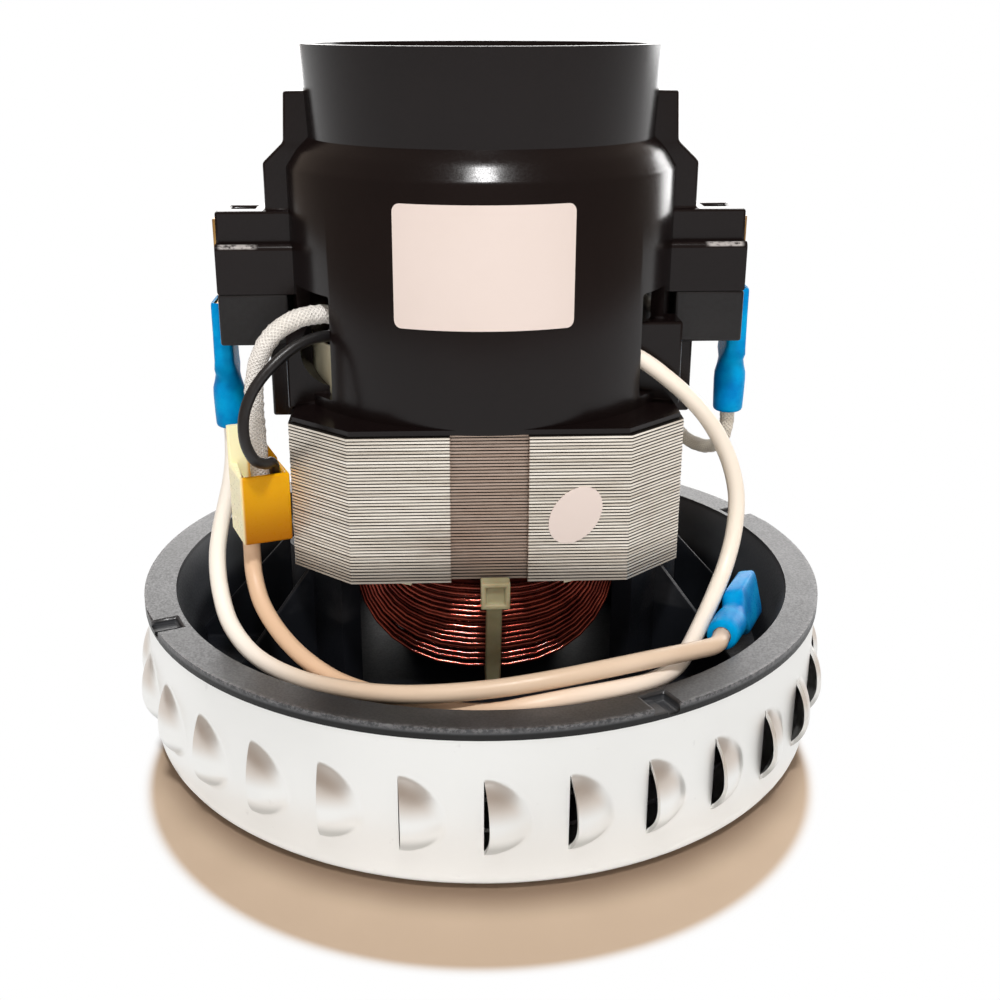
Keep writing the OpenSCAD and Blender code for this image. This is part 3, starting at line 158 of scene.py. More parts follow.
class Shader:
    """Node tree of one material, with short calls for the nodes that finishes share."""

    def __init__(self, name: str) -> None:
        """Start a material with a plain principled surface.

        Args:
            name: Name of the material.
        """
        self.material = bpy.data.materials.new(name)
        self.material.use_nodes = True
        self.tree = self.material.node_tree
        self.surface = self.tree.nodes["Principled BSDF"]

    def add(self, kind: str, **settings: object) -> bpy.types.Node:
        """Add a node and set its own properties.

        Args:
            kind: Blender's type name of the node.
            settings: Properties of the node.

        Returns:
            The new node.
        """
        node = self.tree.nodes.new(kind)
        for name, value in settings.items():
            setattr(node, name, value)
        return node

    def join(self, source: Socket, target: Socket) -> None:
        """Link an output to an input."""
        self.tree.links.new(source, target)

    def space(self, stretch: Point = (1, 1, 1)) -> Socket:
        """Object coordinates, stretched.

        Args:
            stretch: Scale along each axis.

        Returns:
            The socket of the coordinates.
        """
        mapping = self.add("ShaderNodeMapping")
        mapping.inputs["Scale"].default_value = stretch
        self.join(self.add("ShaderNodeTexCoord").outputs["Object"], mapping.inputs["Vector"])
        return mapping.outputs["Vector"]

    def noise(
        self, space: Socket, scale: float, detail: float = 4, rough: float = 0.55
    ) -> Socket:
        """Cloudy noise.

        Args:
            space: Coordinates to read.
            scale: Cells per metre.
            detail: Octaves.
            rough: Share of the finer octaves.

        Returns:
            The socket of the noise, from 0 to 1.
        """
        node = self.add("ShaderNodeTexNoise")
        node.inputs["Scale"].default_value = scale
        node.inputs["Detail"].default_value = detail
        node.inputs["Roughness"].default_value = rough
        self.join(space, node.inputs["Vector"])
        return node.outputs["Fac"]

    def math(
        self, operation: str, first: Socket, second: Socket | float = 0.0
    ) -> Socket:
        """Sum of two values, or another operation on them.

        Args:
            operation: Blender's name of the operation.
            first: First value.
            second: Second value.

        Returns:
            The socket of the result.
        """
        node = self.add("ShaderNodeMath", operation=operation)
        self.join(first, node.inputs[0])
        if isinstance(second, Socket):
            self.join(second, node.inputs[1])
        else:
            node.inputs[1].default_value = second
        return node.outputs[0]

    def product(self, first: Socket, *others: Socket | float) -> Socket:
        """Product of values.

        Args:
            first: First value.
            others: The other values.

        Returns:
            The socket of the product.
        """
        for other in others:
            first = self.math("MULTIPLY", first, other)
        return first

    def fit(
        self, value: Socket, low: float, high: float, to_low: float = 0.0, to_high: float = 1.0
    ) -> Socket:
        """Spread a value smoothly from one range to another.

        Args:
            value: Value to spread.
            low: Start of its range.
            high: End of its range.
            to_low: Result at the start.
            to_high: Result at the end.

        Returns:
            The socket of the result.
        """
        node = self.add("ShaderNodeMapRange", interpolation_type="SMOOTHSTEP")
        self.join(value, node.inputs["Value"])
        for name, number in zip(("From Min", "From Max", "To Min", "To Max"), (low, high, to_low, to_high)):
            node.inputs[name].default_value = number
        return node.outputs["Result"]

    def blend(
        self,
        share: Socket,
        first: Socket | Color,
        second: Socket | Color,
    ) -> Socket:
        """Mix two colours.

        Args:
            share: Share of the second colour.
            first: First colour.
            second: Second colour.

        Returns:
            The socket of the mixed colour.
        """
        node = self.add("ShaderNodeMix", data_type="RGBA")
        self.join(share, node.inputs[0])
        for socket, color in ((node.inputs[6], first), (node.inputs[7], second)):
            if isinstance(color, Socket):
                self.join(color, socket)
            else:
                socket.default_value = (*color, 1)
        return node.outputs[2]

    def axes(self) -> dict[str, Socket]:
        """Object coordinates as three sockets, X, Y and Z."""
        node = self.add("ShaderNodeSeparateXYZ")
        self.join(self.space(), node.inputs[0])
        return {name: node.outputs[name] for name in "XYZ"}

    def radius(self) -> Socket:
        """Distance from the motor axis."""
        flat = self.add("ShaderNodeVectorMath", operation="LENGTH")
        self.join(self.space(stretch=(1, 1, 0)), flat.inputs[0])
        return flat.outputs["Value"]

    def distance(self, middle: Point) -> Socket:
        """Distance from a point."""
        node = self.add("ShaderNodeVectorMath", operation="DISTANCE")
        self.join(self.space(), node.inputs[0])
        node.inputs[1].default_value = middle
        return node.outputs["Value"]

    def along_wire(self) -> dict[str, Socket]:
        """A wire's own UV map as sockets: X along the wire, Y round it."""
        node = self.add("ShaderNodeSeparateXYZ")
        self.join(self.add("ShaderNodeUVMap", uv_map=Tube.UV_NAME).outputs["UV"], node.inputs[0])
        return {name: node.outputs[name] for name in "XY"}

    def set(self, **values: float | Color) -> None:
        """Set sockets of the surface that are the same all over.

        Args:
            values: Socket names with _ for a space, and their values.
        """
        for name, value in values.items():
            socket = self.surface.inputs[name.replace("_", " ")]
            socket.default_value = (*value, 1) if isinstance(value, tuple) else value

    def color(self, source: Socket) -> None:
        """Use a socket as the surface's colour."""
        self.join(source, self.surface.inputs["Base Color"])

    def roughness(self, source: Socket) -> None:
        """Use a socket as the surface's roughness."""
        self.join(source, self.surface.inputs["Roughness"])

    def relief(self, height: Socket, depth: float) -> None:
        """Give the surface a fine relief.

        Args:
            height: Height from 0 to 1.
            depth: Depth of the relief.
        """
        node = self.add("ShaderNodeBump")
        node.inputs["Strength"].default_value = 1
        node.inputs["Distance"].default_value = depth
        self.join(height, node.inputs["Height"])
        self.join(node.outputs["Normal"], self.surface.inputs["Normal"])


@dataclass(frozen=True)
class Finish:
    """Surface with cloudy colour, uneven gloss and a fine grain."""

    name: str
    base: Color
    shade: Color
    smooth: float
    dull: float
    metallic: float = 0.0
    coat: float = 0.0
    gloss: float = 0.5
    cloud: float = 70.0
    grain: float = 1500.0
    depth: float = 0.00001

    def material(self) -> bpy.types.Material:
        """Material of the finish, made once."""
        name = f"{self.name}_finish"
        made = bpy.data.materials.get(name)
        if made is None:
            shader = Shader(name)
            self.dress(shader)
            made = shader.material
        return made

    def paint(self, shader: Shader) -> Socket:
        """Two tones in soft clouds.

        Args:
            shader: Shader to fill.

        Returns:
            The socket of the colour.
        """
        cloud = shader.noise(shader.space(), self.cloud)
        return shader.blend(shader.fit(cloud, *SPREAD), self.base, self.shade)

    def dress(self, shader: Shader) -> None:
        """Fill the node tree.

        Args:
            shader: Shader to fill.
        """
        grain = shader.noise(shader.space(), self.grain, detail=2)
        shader.color(self.paint(shader))
        shader.roughness(shader.fit(grain, *SPREAD, self.smooth, self.dull))
        shader.set(Metallic=self.metallic, Coat_Weight=self.coat, Specular_IOR_Level=self.gloss)
        shader.relief(grain, self.depth)


@dataclass(frozen=True, kw_only=True)
class PressedSheet(Finish):
    """Pressed aluminium with faint smudges and shallow dents, with a painted tan reflection over the upper
    halves of its louvres and a painted grey shade at their lower lips.
    """

    smudge: Color
    dents: float = 9.0
    wall: float = 59.7 * MM
    # Painted reflection: tan tone where the louvres stand out from the wall above their middle.
    dome: Color = (0.6, 0.5, 0.42)
    dome_reflection_height: Span = (12.4 * MM, 15.7 * MM)
    dome_reflection_lift: Span = (0.1 * MM, 1.3 * MM)
    # Painted shade: grey tone where the louvres stand out from the wall at their lower lips.
    tuck_shade: Color = (0.36, 0.36, 0.34)
    tuck_shade_height: Span = (10.6 * MM, 8.2 * MM)
    tuck_shade_lift: Span = (0.05 * MM, 0.6 * MM)
    tone: float = 0.65
    cloud_range: Span = (0.35, 0.75)
    spot_scale: float = 420.0
    spot_range: Span = (0.68, 0.8)
    spot_share: float = 0.35

    def dress(self, shader: Shader) -> None:
        """Fill the node tree.

        Args:
            shader: Shader to fill.
        """
        grain = shader.noise(shader.space(), self.grain, detail=3)
        cloud = shader.noise(shader.space(), self.cloud, detail=2)
        spots = shader.noise(shader.space(), self.spot_scale, detail=3)
        color = shader.blend(shader.fit(cloud, *self.cloud_range), self.base, self.shade)
        color = shader.blend(shader.fit(spots, *self.spot_range, 0, self.spot_share), color, self.smudge)
        height, out = shader.axes()["Z"], shader.math("SUBTRACT", shader.radius(), self.wall)
        # Paint the tan reflection and the grey shade onto the lifted louvres.
        for tone, heights, lifts in (
                (self.dome, self.dome_reflection_height, self.dome_reflection_lift), (self.tuck_shade, self.tuck_shade_height, self.tuck_shade_lift)):
            share = shader.product(shader.fit(out, *lifts, 0, self.tone), shader.fit(height, *heights))
            color = shader.blend(share, color, tone)
        shader.color(color)
        shader.roughness(shader.fit(cloud, *SPREAD, self.smooth, self.dull))
        shader.set(Metallic=self.metallic)
        shader.relief(shader.math("ADD", grain, shader.product(cloud, self.dents)), self.depth)


@dataclass(frozen=True, kw_only=True)
class WornMoulding(Finish):
    """Black moulding whose outer rim has been worn lighter."""

    worn: Color
    side: Color = (0.002, 0.002, 0.002)
    wall: Color = (0.05, 0.054, 0.06)
    wall_radius: Span = (51.5 * MM, 52.5 * MM)
    wall_clouds: Span = (0.2, 0.6)
    wall_least: float = 0.6
    rim_out: Span = (59.1 * MM, 60 * MM)
    rim_up: Span = (26.8 * MM, 27.6 * MM)
    side_height: Span = (27.3 * MM, 26.6 * MM)
    shine_radius: Span = (53 * MM, 55 * MM)
    inner_gloss: float = 0.1
    side_gloss: float = 0.5
    scuff_scale: float = 1300.0
    scuff_range: Span = (0.42, 0.6)
    scuff_depth: float = -2.0
    haze_range: Span = (0.45, 0.75)
    haze: float = 0.22

    def dress(self, shader: Shader) -> None:
        """Fill the node tree.

        Args:
            shader: Shader to fill.
        """
        space = shader.space()
        cloud = shader.noise(space, self.cloud, detail=5)
        grain = shader.noise(space, self.grain, detail=2)
        scuff = shader.noise(space, self.scuff_scale, detail=6, rough=0.75)
        radius, height = shader.radius(), shader.axes()["Z"]
        out, up = shader.fit(radius, *self.rim_out), shader.fit(height, *self.rim_up)
        edge = shader.product(out, up, shader.fit(scuff, *self.scuff_range))
        haze = shader.product(up, shader.fit(cloud, *self.haze_range, 0, self.haze))
        side = shader.product(out, shader.fit(height, *self.side_height))
        inner = shader.product(
            shader.fit(radius, *self.wall_radius), shader.fit(cloud, *self.wall_clouds, self.wall_least, 1),
            shader.fit(up, 0, 1, 1, 0))
        color = shader.blend(shader.fit(cloud, *SPREAD), self.base, self.shade)
        color = shader.blend(side, shader.blend(inner, color, self.wall), self.side)
        shader.color(shader.blend(shader.math("MAXIMUM", edge, haze), color, self.worn))
        shader.roughness(shader.fit(grain, *SPREAD, self.smooth, self.dull))
        shine = shader.fit(radius, *self.shine_radius, self.inner_gloss, self.gloss)
        shader.join(
            shader.product(shine, shader.fit(side, 0, 1, 1, self.side_gloss)),
            shader.surface.inputs["Specular IOR Level"])
        shader.relief(shader.math("ADD", grain, shader.product(edge, self.scuff_depth)), self.depth)


@dataclass(frozen=True, kw_only=True)
class LedgeHighlightMoulding(Finish):
    """Moulding with a painted highlight along the ledges of its brush housings."""

    # Painted highlight: light tone along the ledges, where light catches their edges.
    ledge_highlight: Color
    ledge_depth: Span = (7 * MM, 7.4 * MM)
    ledge_height: Span = (86.2 * MM, 86.5 * MM)
    ledge_start: Span = (36.2 * MM, 37.4 * MM)
    ledge_end: Span = (42.9 * MM, 42.2 * MM)
    ledge_rise: Span = (87.12 * MM, 87 * MM)
    scuff_scale: float = 1500.0
    scuff_range: Span = (0.3, 0.55)

    def paint(self, shader: Shader) -> Socket:
        """Clouds, with a painted highlight along the ledges, broken up by a scuff noise.

        Args:
            shader: Shader to fill.

        Returns:
            The socket of the colour.
        """
        axes = shader.axes()
        scuff = shader.fit(shader.noise(shader.space(), self.scuff_scale), *self.scuff_range)
        reach = shader.math("ABSOLUTE", axes["X"])
        # Painted highlight along the ledges of the brush housings, broken up by noise.
        share = shader.product(scuff, *(shader.fit(value, *edge) for value, edge in (
            (reach, self.ledge_start), (reach, self.ledge_end),
            (shader.math("ABSOLUTE", axes["Y"]), self.ledge_depth),
            (axes["Z"], self.ledge_height), (axes["Z"], self.ledge_rise))))
        return shader.blend(share, super().paint(shader), self.ledge_highlight)


@dataclass(frozen=True, kw_only=True)
class LaminationSteel(Finish):
    """Punched steel sheets, each a little different, with a browned recess, painted shade at the gaps between
    sheets and painted shade towards the bottom of the stack.
    """

    browned: Color
    brown_share: float = 0.72
    recess: Span = (6 * MM, 6.2 * MM)
    face: Span = (29.5 * MM, 30 * MM)
    sheet_stretch: Point = (0.02, 0.02, 1)
    sheet_scale: float = 1900.0
    streak_stretch: Point = (0.2, 0.2, 1)
    streak_scale: float = 2400.0
    stain_scale: float = 45.0
    stain_range: Span = (0.5, 0.75)
    stain_share: float = 0.35
    # Painted shade: near-black tone at the top of each sheet's edge and in the gap above it.
    gap_shade: Color = (0.035, 0.03, 0.026)
    foot: float = 0.0379
    pitch: float = 24 * MM / 46
    edge: Span = (0.6, 0.68)
    # Painted shade: darker towards the bottom of the stack.
    low_shade: Color = (0.14, 0.12, 0.1)
    low_shade_share: float = 0.6
    low_shade_height: Span = (43 * MM, 38 * MM)

    def dress(self, shader: Shader) -> None:
        """Fill the node tree.

        Args:
            shader: Shader to fill.
        """
        sheets = shader.noise(shader.space(self.sheet_stretch), self.sheet_scale, detail=1)
        streak = shader.noise(shader.space(self.streak_stretch), self.streak_scale, detail=3)
        stain = shader.noise(shader.space(), self.stain_scale)
        axes = shader.axes()
        inside = shader.fit(shader.math("ABSOLUTE", axes["X"]), *self.recess, 1, 0)
        front = shader.fit(shader.math("ABSOLUTE", axes["Y"]), *self.face)
        color = shader.blend(shader.fit(sheets, *SPREAD), self.base, self.shade)
        color = shader.blend(shader.fit(stain, *self.stain_range, 0, self.stain_share), color, self.browned)
        color = shader.blend(shader.product(inside, front, self.brown_share), color, self.browned)
        rise = shader.math("DIVIDE", shader.math("SUBTRACT", axes["Z"], self.foot), self.pitch)
        # Painted shade towards the bottom of the stack, then painted shade at the gaps between sheets.
        color = shader.blend(shader.fit(axes["Z"], *self.low_shade_height, 0, self.low_shade_share), color, self.low_shade)
        shader.color(shader.blend(shader.fit(shader.math("FRACT", rise), *self.edge), color, self.gap_shade))
        shader.roughness(shader.fit(streak, *SPREAD, self.smooth, self.dull))
        shader.set(Metallic=self.metallic)
        shader.relief(streak, self.depth)


@dataclass(frozen=True, kw_only=True)
class ClearPlastic(Finish):
    """Plastic that lets some light through."""

    glow: float
    reach: float = 0.001

    def dress(self, shader: Shader) -> None:
        """Fill the node tree.

        Args:
            shader: Shader to fill.
        """
        super().dress(shader)
        shader.set(Subsurface_Weight=self.glow, Subsurface_Scale=self.reach)


@dataclass(frozen=True, kw_only=True)
class ConnectorPlastic(ClearPlastic):
    """Clear plastic of the connector, with painted light on its outer wall and painted shade at its closed
    end.
    """

    # Painted light: light tone of the connector's outer wall.
    wall_light: Color
    wall_light_band: Span = (-39 * MM, -38.3 * MM)
    # Painted shade: darker tone at the connector's closed end.
    deep: Color
    closed_end: Span = (41 * MM, 54 * MM)

    def paint(self, shader: Shader) -> Socket:
        """Clouds that run from painted shade at the closed end to painted light on the outer wall.

        Args:
            shader: Shader to fill.

        Returns:
            The socket of the colour.
        """
        axes = shader.axes()
        # Painted shade at the closed end, then painted light on the outer wall.
        color = shader.blend(shader.fit(axes["Z"], *self.closed_end), self.deep, super().paint(shader))
        return shader.blend(shader.fit(axes["X"], *self.wall_light_band), self.wall_light, color)


@dataclass(frozen=True, kw_only=True)
class Insulation(Finish):
    """Wire insulation that has another tone over its first stretch; the tan tone is painted shade where the
    wire runs in shade, and the white tone is the wire's own colour.
    """

    # Tone of the first stretch: white on the lead, painted shade in tan on the link.
    start: Color
    change: Span

    def paint(self, shader: Shader) -> Socket:
        """Clouds that run from one tone to another along the wire, the tan one painted shade.

        Args:
            shader: Shader to fill.

        Returns:
            The socket of the colour.
        """
        # Painted shade along the wire: tan over the stretch that runs in shade.
        along = shader.fit(shader.along_wire()["X"], *self.change)
        return shader.blend(along, self.start, super().paint(shader))


@dataclass(frozen=True)
class WovenSleeve(Finish):
    """Braided sleeve: two families of threads that cross, read from the wire's own UV map."""

    threads: float = 11.0
    picks: float = 1500.0
    weave_range: Span = (-0.6, 1)
    fuzz_scale: float = 2600.0
    cloud_range: Span = (0.35, 0.7)
    shadow_range: Span = (0.5, 1.2)
    shadow: float = 0.3
    shadow_tone: float = 0.45
    sheen: float = 0.5

    def dress(self, shader: Shader) -> None:
        """Fill the node tree.

        Args:
            shader: Shader to fill.
        """
        lay = shader.along_wire()
        around = shader.product(lay["Y"], self.threads * math.tau)
        along = shader.product(lay["X"], self.picks * math.tau)
        first, second = (
            shader.math("SINE", shader.math(operation, around, along)) for operation in ("ADD", "SUBTRACT"))
        weave = shader.fit(shader.math("MAXIMUM", first, second), *self.weave_range)
        fuzz = shader.noise(shader.space(), self.fuzz_scale, rough=0.7)
        height = shader.math("ADD", weave, fuzz)
        cloud = shader.noise(shader.space(), self.cloud)
        color = shader.blend(shader.fit(cloud, *self.cloud_range), self.base, self.shade)
        shadow = shader.fit(height, *self.shadow_range, self.shadow, 0)
        shader.color(shader.blend(shadow, color, tuple(self.shadow_tone * c for c in self.shade)))
        shader.set(Roughness=self.dull, Sheen_Weight=self.sheen)
        shader.relief(height, self.depth)


class Palette:
    """Finishes of the unit, named for what they cover."""

    # The cover's louvres carry a painted tan reflection and a painted grey shade.
    cover = PressedSheet(
        "cover_aluminium", (0.88, 0.88, 0.86), (0.83, 0.83, 0.81), 0.28, 0.36, metallic=0.85,
        cloud=26, grain=2600, depth=0.000005, smudge=(0.62, 0.61, 0.6))
    frame = WornMoulding(
        "frame_moulding", tint(20, 22, 26), tint(29, 31, 36), 0.34, 0.5, cloud=60, grain=2600, depth=0.000008,
        gloss=0.75, worn=tint(102, 102, 104))
    # The brush housing ledges of the casing carry a painted highlight.
    casing = LedgeHighlightMoulding(
        "casing_moulding", tint(16, 10, 10), tint(20, 13, 13), 0.18, 0.27, gloss=0.26, cloud=40, grain=4800,
        depth=0.0000025, ledge_highlight=tint(172, 168, 166))
    cap = Finish(
        "cap_moulding", tint(20, 18, 19), tint(27, 25, 26), 0.35, 0.5, gloss=0.4, cloud=60, depth=0.000012)
    # The stack's sheets carry painted shade at their gaps and towards the bottom.
    lamination = LaminationSteel(
        "stack_laminations", (0.97, 0.92, 0.83), (0.68, 0.62, 0.53), 0.3, 0.48, metallic=0.6,
        depth=0.000006, browned=tint(150, 118, 100))
    film = Finish("slot_film", tint(240, 234, 205), tint(228, 219, 184), 0.4, 0.55, cloud=120)
    enamel = Finish(
        "coil_enamel", tint(184, 84, 66), tint(126, 40, 30), 0.14, 0.24, metallic=0.85, coat=0.8, cloud=260,
        grain=900, depth=0.000004)
    # Darker copies of the coil enamel, as painted shade: for the inner layer of loops, and for the bundles
    # and the armature winding under them.
    enamel_deep = Finish(
        "coil_shaded_enamel", tint(112, 34, 24), tint(78, 22, 16), 0.22, 0.34, metallic=0.7, coat=0.3,
        cloud=260)
    enamel_core = Finish(
        "coil_dark_shaded_enamel", tint(84, 26, 18), tint(52, 16, 12), 0.35, 0.5, metallic=0.3, cloud=400)
    nylon = ClearPlastic(
        "tie_nylon", tint(164, 156, 124), tint(142, 134, 102), 0.35, 0.5, cloud=160, glow=0.3, reach=0.0015)
    label = Finish(
        "label_film", tint(223, 210, 204), tint(219, 206, 199), 0.42, 0.55, cloud=30, grain=3000,
        depth=0.000004)
    brass = Finish(
        "brass_strip", tint(190, 150, 92), tint(160, 118, 66), 0.25, 0.42, metallic=0.95, cloud=240)
    carbon = Finish("brush_carbon", tint(40, 40, 42), tint(28, 28, 30), 0.5, 0.7, cloud=400, depth=0.00003)
    spring = Finish("spring_wire", tint(178, 182, 188), tint(150, 154, 160), 0.22, 0.35, metallic=1)
    vinyl = Finish("terminal_vinyl", tint(0, 158, 220), tint(0, 122, 198), 0.26, 0.4, gloss=0.04, cloud=200)
    # The connector carries painted light on its outer wall and painted shade at its closed end.
    connector = ConnectorPlastic(
        "connector_plastic", tint(230, 170, 10), tint(220, 156, 4), 0.26, 0.4, gloss=0.15, cloud=90,
        glow=0.15, wall_light=tint(255, 250, 206), deep=tint(164, 98, 4))
    # The tan tones of the lead and the link are painted shade; white is the wires' own colour.
    lead = Insulation(
        "lead_insulation", tint(222, 200, 177), tint(212, 188, 163), 0.3, 0.44, gloss=0.35, cloud=45,
        start=tint(248, 242, 232), change=(0.045, 0.075))
    link = Insulation(
        "link_insulation", tint(246, 235, 219), tint(248, 238, 226), 0.3, 0.44, gloss=0.35, cloud=30,
        start=tint(222, 188, 156), change=(0.045, 0.1))
    black_wire = Finish("black_insulation", tint(22, 21, 22), tint(32, 30, 31), 0.3, 0.45, cloud=90)
    woven = WovenSleeve("woven_sleeve", tint(246, 243, 238), tint(232, 227, 218), 0.8, 0.85, depth=0.00014)
    grey_woven = WovenSleeve(
        "grey_sleeve", tint(238, 230, 214), tint(216, 208, 192), 0.8, 0.85, depth=0.00014)
    bearing = Finish("bearing_steel", tint(206, 206, 210), tint(188, 188, 192), 0.16, 0.28, metallic=1)
    rubber = Finish("bearing_rubber", tint(26, 26, 26), tint(34, 34, 34), 0.6, 0.8, cloud=300)
    shaft = Finish("shaft_steel", tint(186, 186, 190), tint(164, 164, 168), 0.22, 0.36, metallic=1, cloud=120)
    copper = Finish(
        "commutator_copper", tint(196, 124, 84), tint(166, 96, 62), 0.25, 0.4, metallic=1, cloud=180)
    impeller = Finish(
        "impeller_sheet", tint(214, 214, 214), tint(196, 196, 197), 0.32, 0.46, metallic=0.9, cloud=50)
    fan = Finish("fan_moulding", tint(52, 52, 54), tint(42, 42, 44), 0.4, 0.55, cloud=120)


def welded(node: Piece) -> Shape:
    """Copy a solid's mesh, with its loose triangles merged into flat faces.

    Args:
        node: Object of the solid.

    Returns:
        The copy, which the caller frees.
    """
    shape = bmesh.new()
    shape.from_mesh(node.data)
    bmesh.ops.remove_doubles(shape, verts=shape.verts[:], dist=WELD)
    bmesh.ops.dissolve_limit(shape, angle_limit=FLAT_ANGLE, verts=shape.verts[:], edges=shape.edges[:])
    for edge in shape.edges:
        edge.smooth = True
    return shape


def whole(shape: Shape) -> Part:
    """All corners, edges and faces of a shape."""
    return shape.verts[:] + shape.edges[:] + shape.faces[:]


def copied(shape: Shape, part: Part) -> list[Vert]:
    """Copy a part of a shape, within the shape.

    Args:
        shape: The shape.
        part: Corners, edges and faces of the part.

    Returns:
        The corners of the copy.
    """
    made = bmesh.ops.duplicate(shape, geom=part)["geom"]
    return [piece for piece in made if isinstance(piece, Vert)]


def draped(columns: int, rows: int, place: Callable[[int, int], Vector]) -> Shape:
    """Sheet of faces whose corners are placed by their column and row.

    Args:
        columns: Faces across the sheet.
        rows: Faces up the sheet.
        place: Gives the point of a column and a row.

    Returns:
        The sheet, which the caller frees.
    """
    shape = bmesh.new()
    bmesh.ops.create_grid(shape, x_segments=columns, y_segments=rows, size=1)
    for vertex in shape.verts:
        vertex.co = place(round((vertex.co.x + 1) / 2 * columns), round((vertex.co.y + 1) / 2 * rows))
    return shape


def linked(name: str, data: bpy.types.ID) -> Piece:
    """Object of some data, linked to the scene.

    Args:
        name: Name of the object.
        data: Its mesh, curve, lamp or camera.

    Returns:
        The new object.
    """
    made = bpy.data.objects.new(name, data)
    bpy.context.scene.collection.objects.link(made)
    return made


def object_from(shape: Shape, name: str, finish: Finish, sharp: float = 40.0) -> Piece:
    """Turn a shape into an object with a finish.

    Args:
        shape: Shape, which is freed.
        name: Name of the piece.
        finish: Its finish.
        sharp: Angle in degrees past which an edge stays sharp.

    Returns:
        The new object.
    """
    for face in shape.faces:
        face.smooth = True
    for edge in shape.edges:
        if edge.calc_face_angle(math.pi) > math.radians(sharp):
            edge.smooth = False
    mesh = bpy.data.meshes.new(name)
    shape.to_mesh(mesh)
    shape.free()
    mesh.materials.append(finish.material())
    return linked(name, mesh)


def settle(piece: Piece, body: Body, slot: str, *replaced: str) -> Piece:
    """Let a piece ride on a body and stand for solids.

    Args:
        piece: The piece.
        body: Body that it rides on.
        slot: Name of a material slot; not used.
        replaced: Nodes that it stands for.

    Returns:
        The piece.
    """
    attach(piece, body.value)
    if replaced:
        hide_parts(*replaced)
    log.info("%s rides on %s", piece.name, body.value)
    return piece


def breadth(face: Face, edge: Edge) -> float:
    """How far a face reaches from one of its edges.

    Args:
        face: The face.
        edge: The edge.

    Returns:
        The distance of its farthest corner from the edge's line.
    """
    start = edge.verts[0].co
    way = (edge.verts[1].co - start).normalized()
    return max(((v.co - start) - way * (v.co - start).dot(way)).length for v in face.verts)


def has_room(edge: Edge, room: float) -> bool:
    """Whether an edge can be rounded: long enough, between broad flat faces.

    Args:
        edge: The edge.
        room: Least length of the edge and breadth of its faces.

    Returns:
        Whether it has room.
    """
    if not edge.is_manifold or edge.calc_face_angle() < ROUND_ANGLE or edge.calc_length() < room:
        return False
    return all(
        breadth(face, edge) > room
        and not any(LEAST_BEND < side.calc_face_angle(0.0) < ROUND_ANGLE for side in face.edges)
        for face in edge.link_faces)


def round_edges(shape: Shape, width: float) -> None:
    """Round the straight edges of a shape, and keep the faces beside them flat.

    Args:
        shape: The shape.
        width: Width of the rounding.
    """
    edges = [edge for edge in shape.edges if has_room(edge, ROUND_ROOM * width)]
    bevel(shape, edges, width, ROUND_FACES)


def bevel(shape: Shape, edges: list[Edge], width: float, segments: int) -> None:
    """Round some edges of a shape, with a crease where the rounding meets older faces.

    Args:
        shape: The shape.
        edges: The edges.
        width: Width of the rounding.
        segments: Faces across it.
    """
    made = bmesh.ops.bevel(
        shape, geom=edges, offset=width, segments=segments, profile=0.5, affect="EDGES", material=-1)
    new = set(made["faces"])
    for face in new:
        for edge in face.edges:
            if any(other not in new for other in edge.link_faces):
                edge.smooth = False


def face_outwards(shape: Shape, face: Face, middle: Vector) -> None:
    """Turn all faces of a sheet so that one face of it looks away from a point.

    Args:
        shape: The sheet.
        face: The face to look at.
        middle: The point.
    """
    bmesh.ops.recalc_face_normals(shape, faces=shape.faces[:])
    if face.normal.dot(face.calc_center_median() - middle) < 0:
        bmesh.ops.reverse_faces(shape, faces=shape.faces[:])


def thicken(piece: Piece, thickness: float) -> None:
    """Give a sheet its thickness, inwards.

    Args:
        piece: The sheet.
        thickness: Its thickness.
    """
    wall = piece.modifiers.new("sheet", "SOLIDIFY")
    wall.thickness = thickness
    wall.offset = -1


@dataclass
class Dressing:
    """A solid that keeps its shape and gets rounded edges and a finish."""

    node: str
    finish: Finish
    slot: str
    rounding: float
    body: Body = Body.HOUSING

    def build(self, nodes: Nodes) -> Piece:
        """Make the piece that stands for the solid.

        Args:
            nodes: Objects of the solids.

        Returns:
            The piece.
        """
        shape = welded(nodes[self.node])
        if self.rounding:
            round_edges(shape, self.rounding)
        piece = object_from(shape, f"{self.node}_dressed", self.finish)
        return settle(piece, self.body, self.slot, self.node)


def smooth_path(points: Sequence[Point], steps: int) -> list[Vector]:
    """Smooth curve through points.

    Args:
        points: Points that the curve passes.
        steps: Steps between two points.

    Returns:
        Points of the curve.
    """
    ways = [Vector(p) for p in points]
    padded = [2 * ways[0] - ways[1], *ways, 2 * ways[-1] - ways[-2]]
    path = []
    for before, start, end, after in zip(padded, padded[1:], padded[2:], padded[3:]):
        for step in range(steps):
            t = step / steps
            path.append(
                0.5 * (2 * start + (end - before) * t + (2 * before - 5 * start + 4 * end - after) * t * t
                       + (3 * start - before - 3 * end + after) * t ** 3))
    return [*path, ways[-1]]


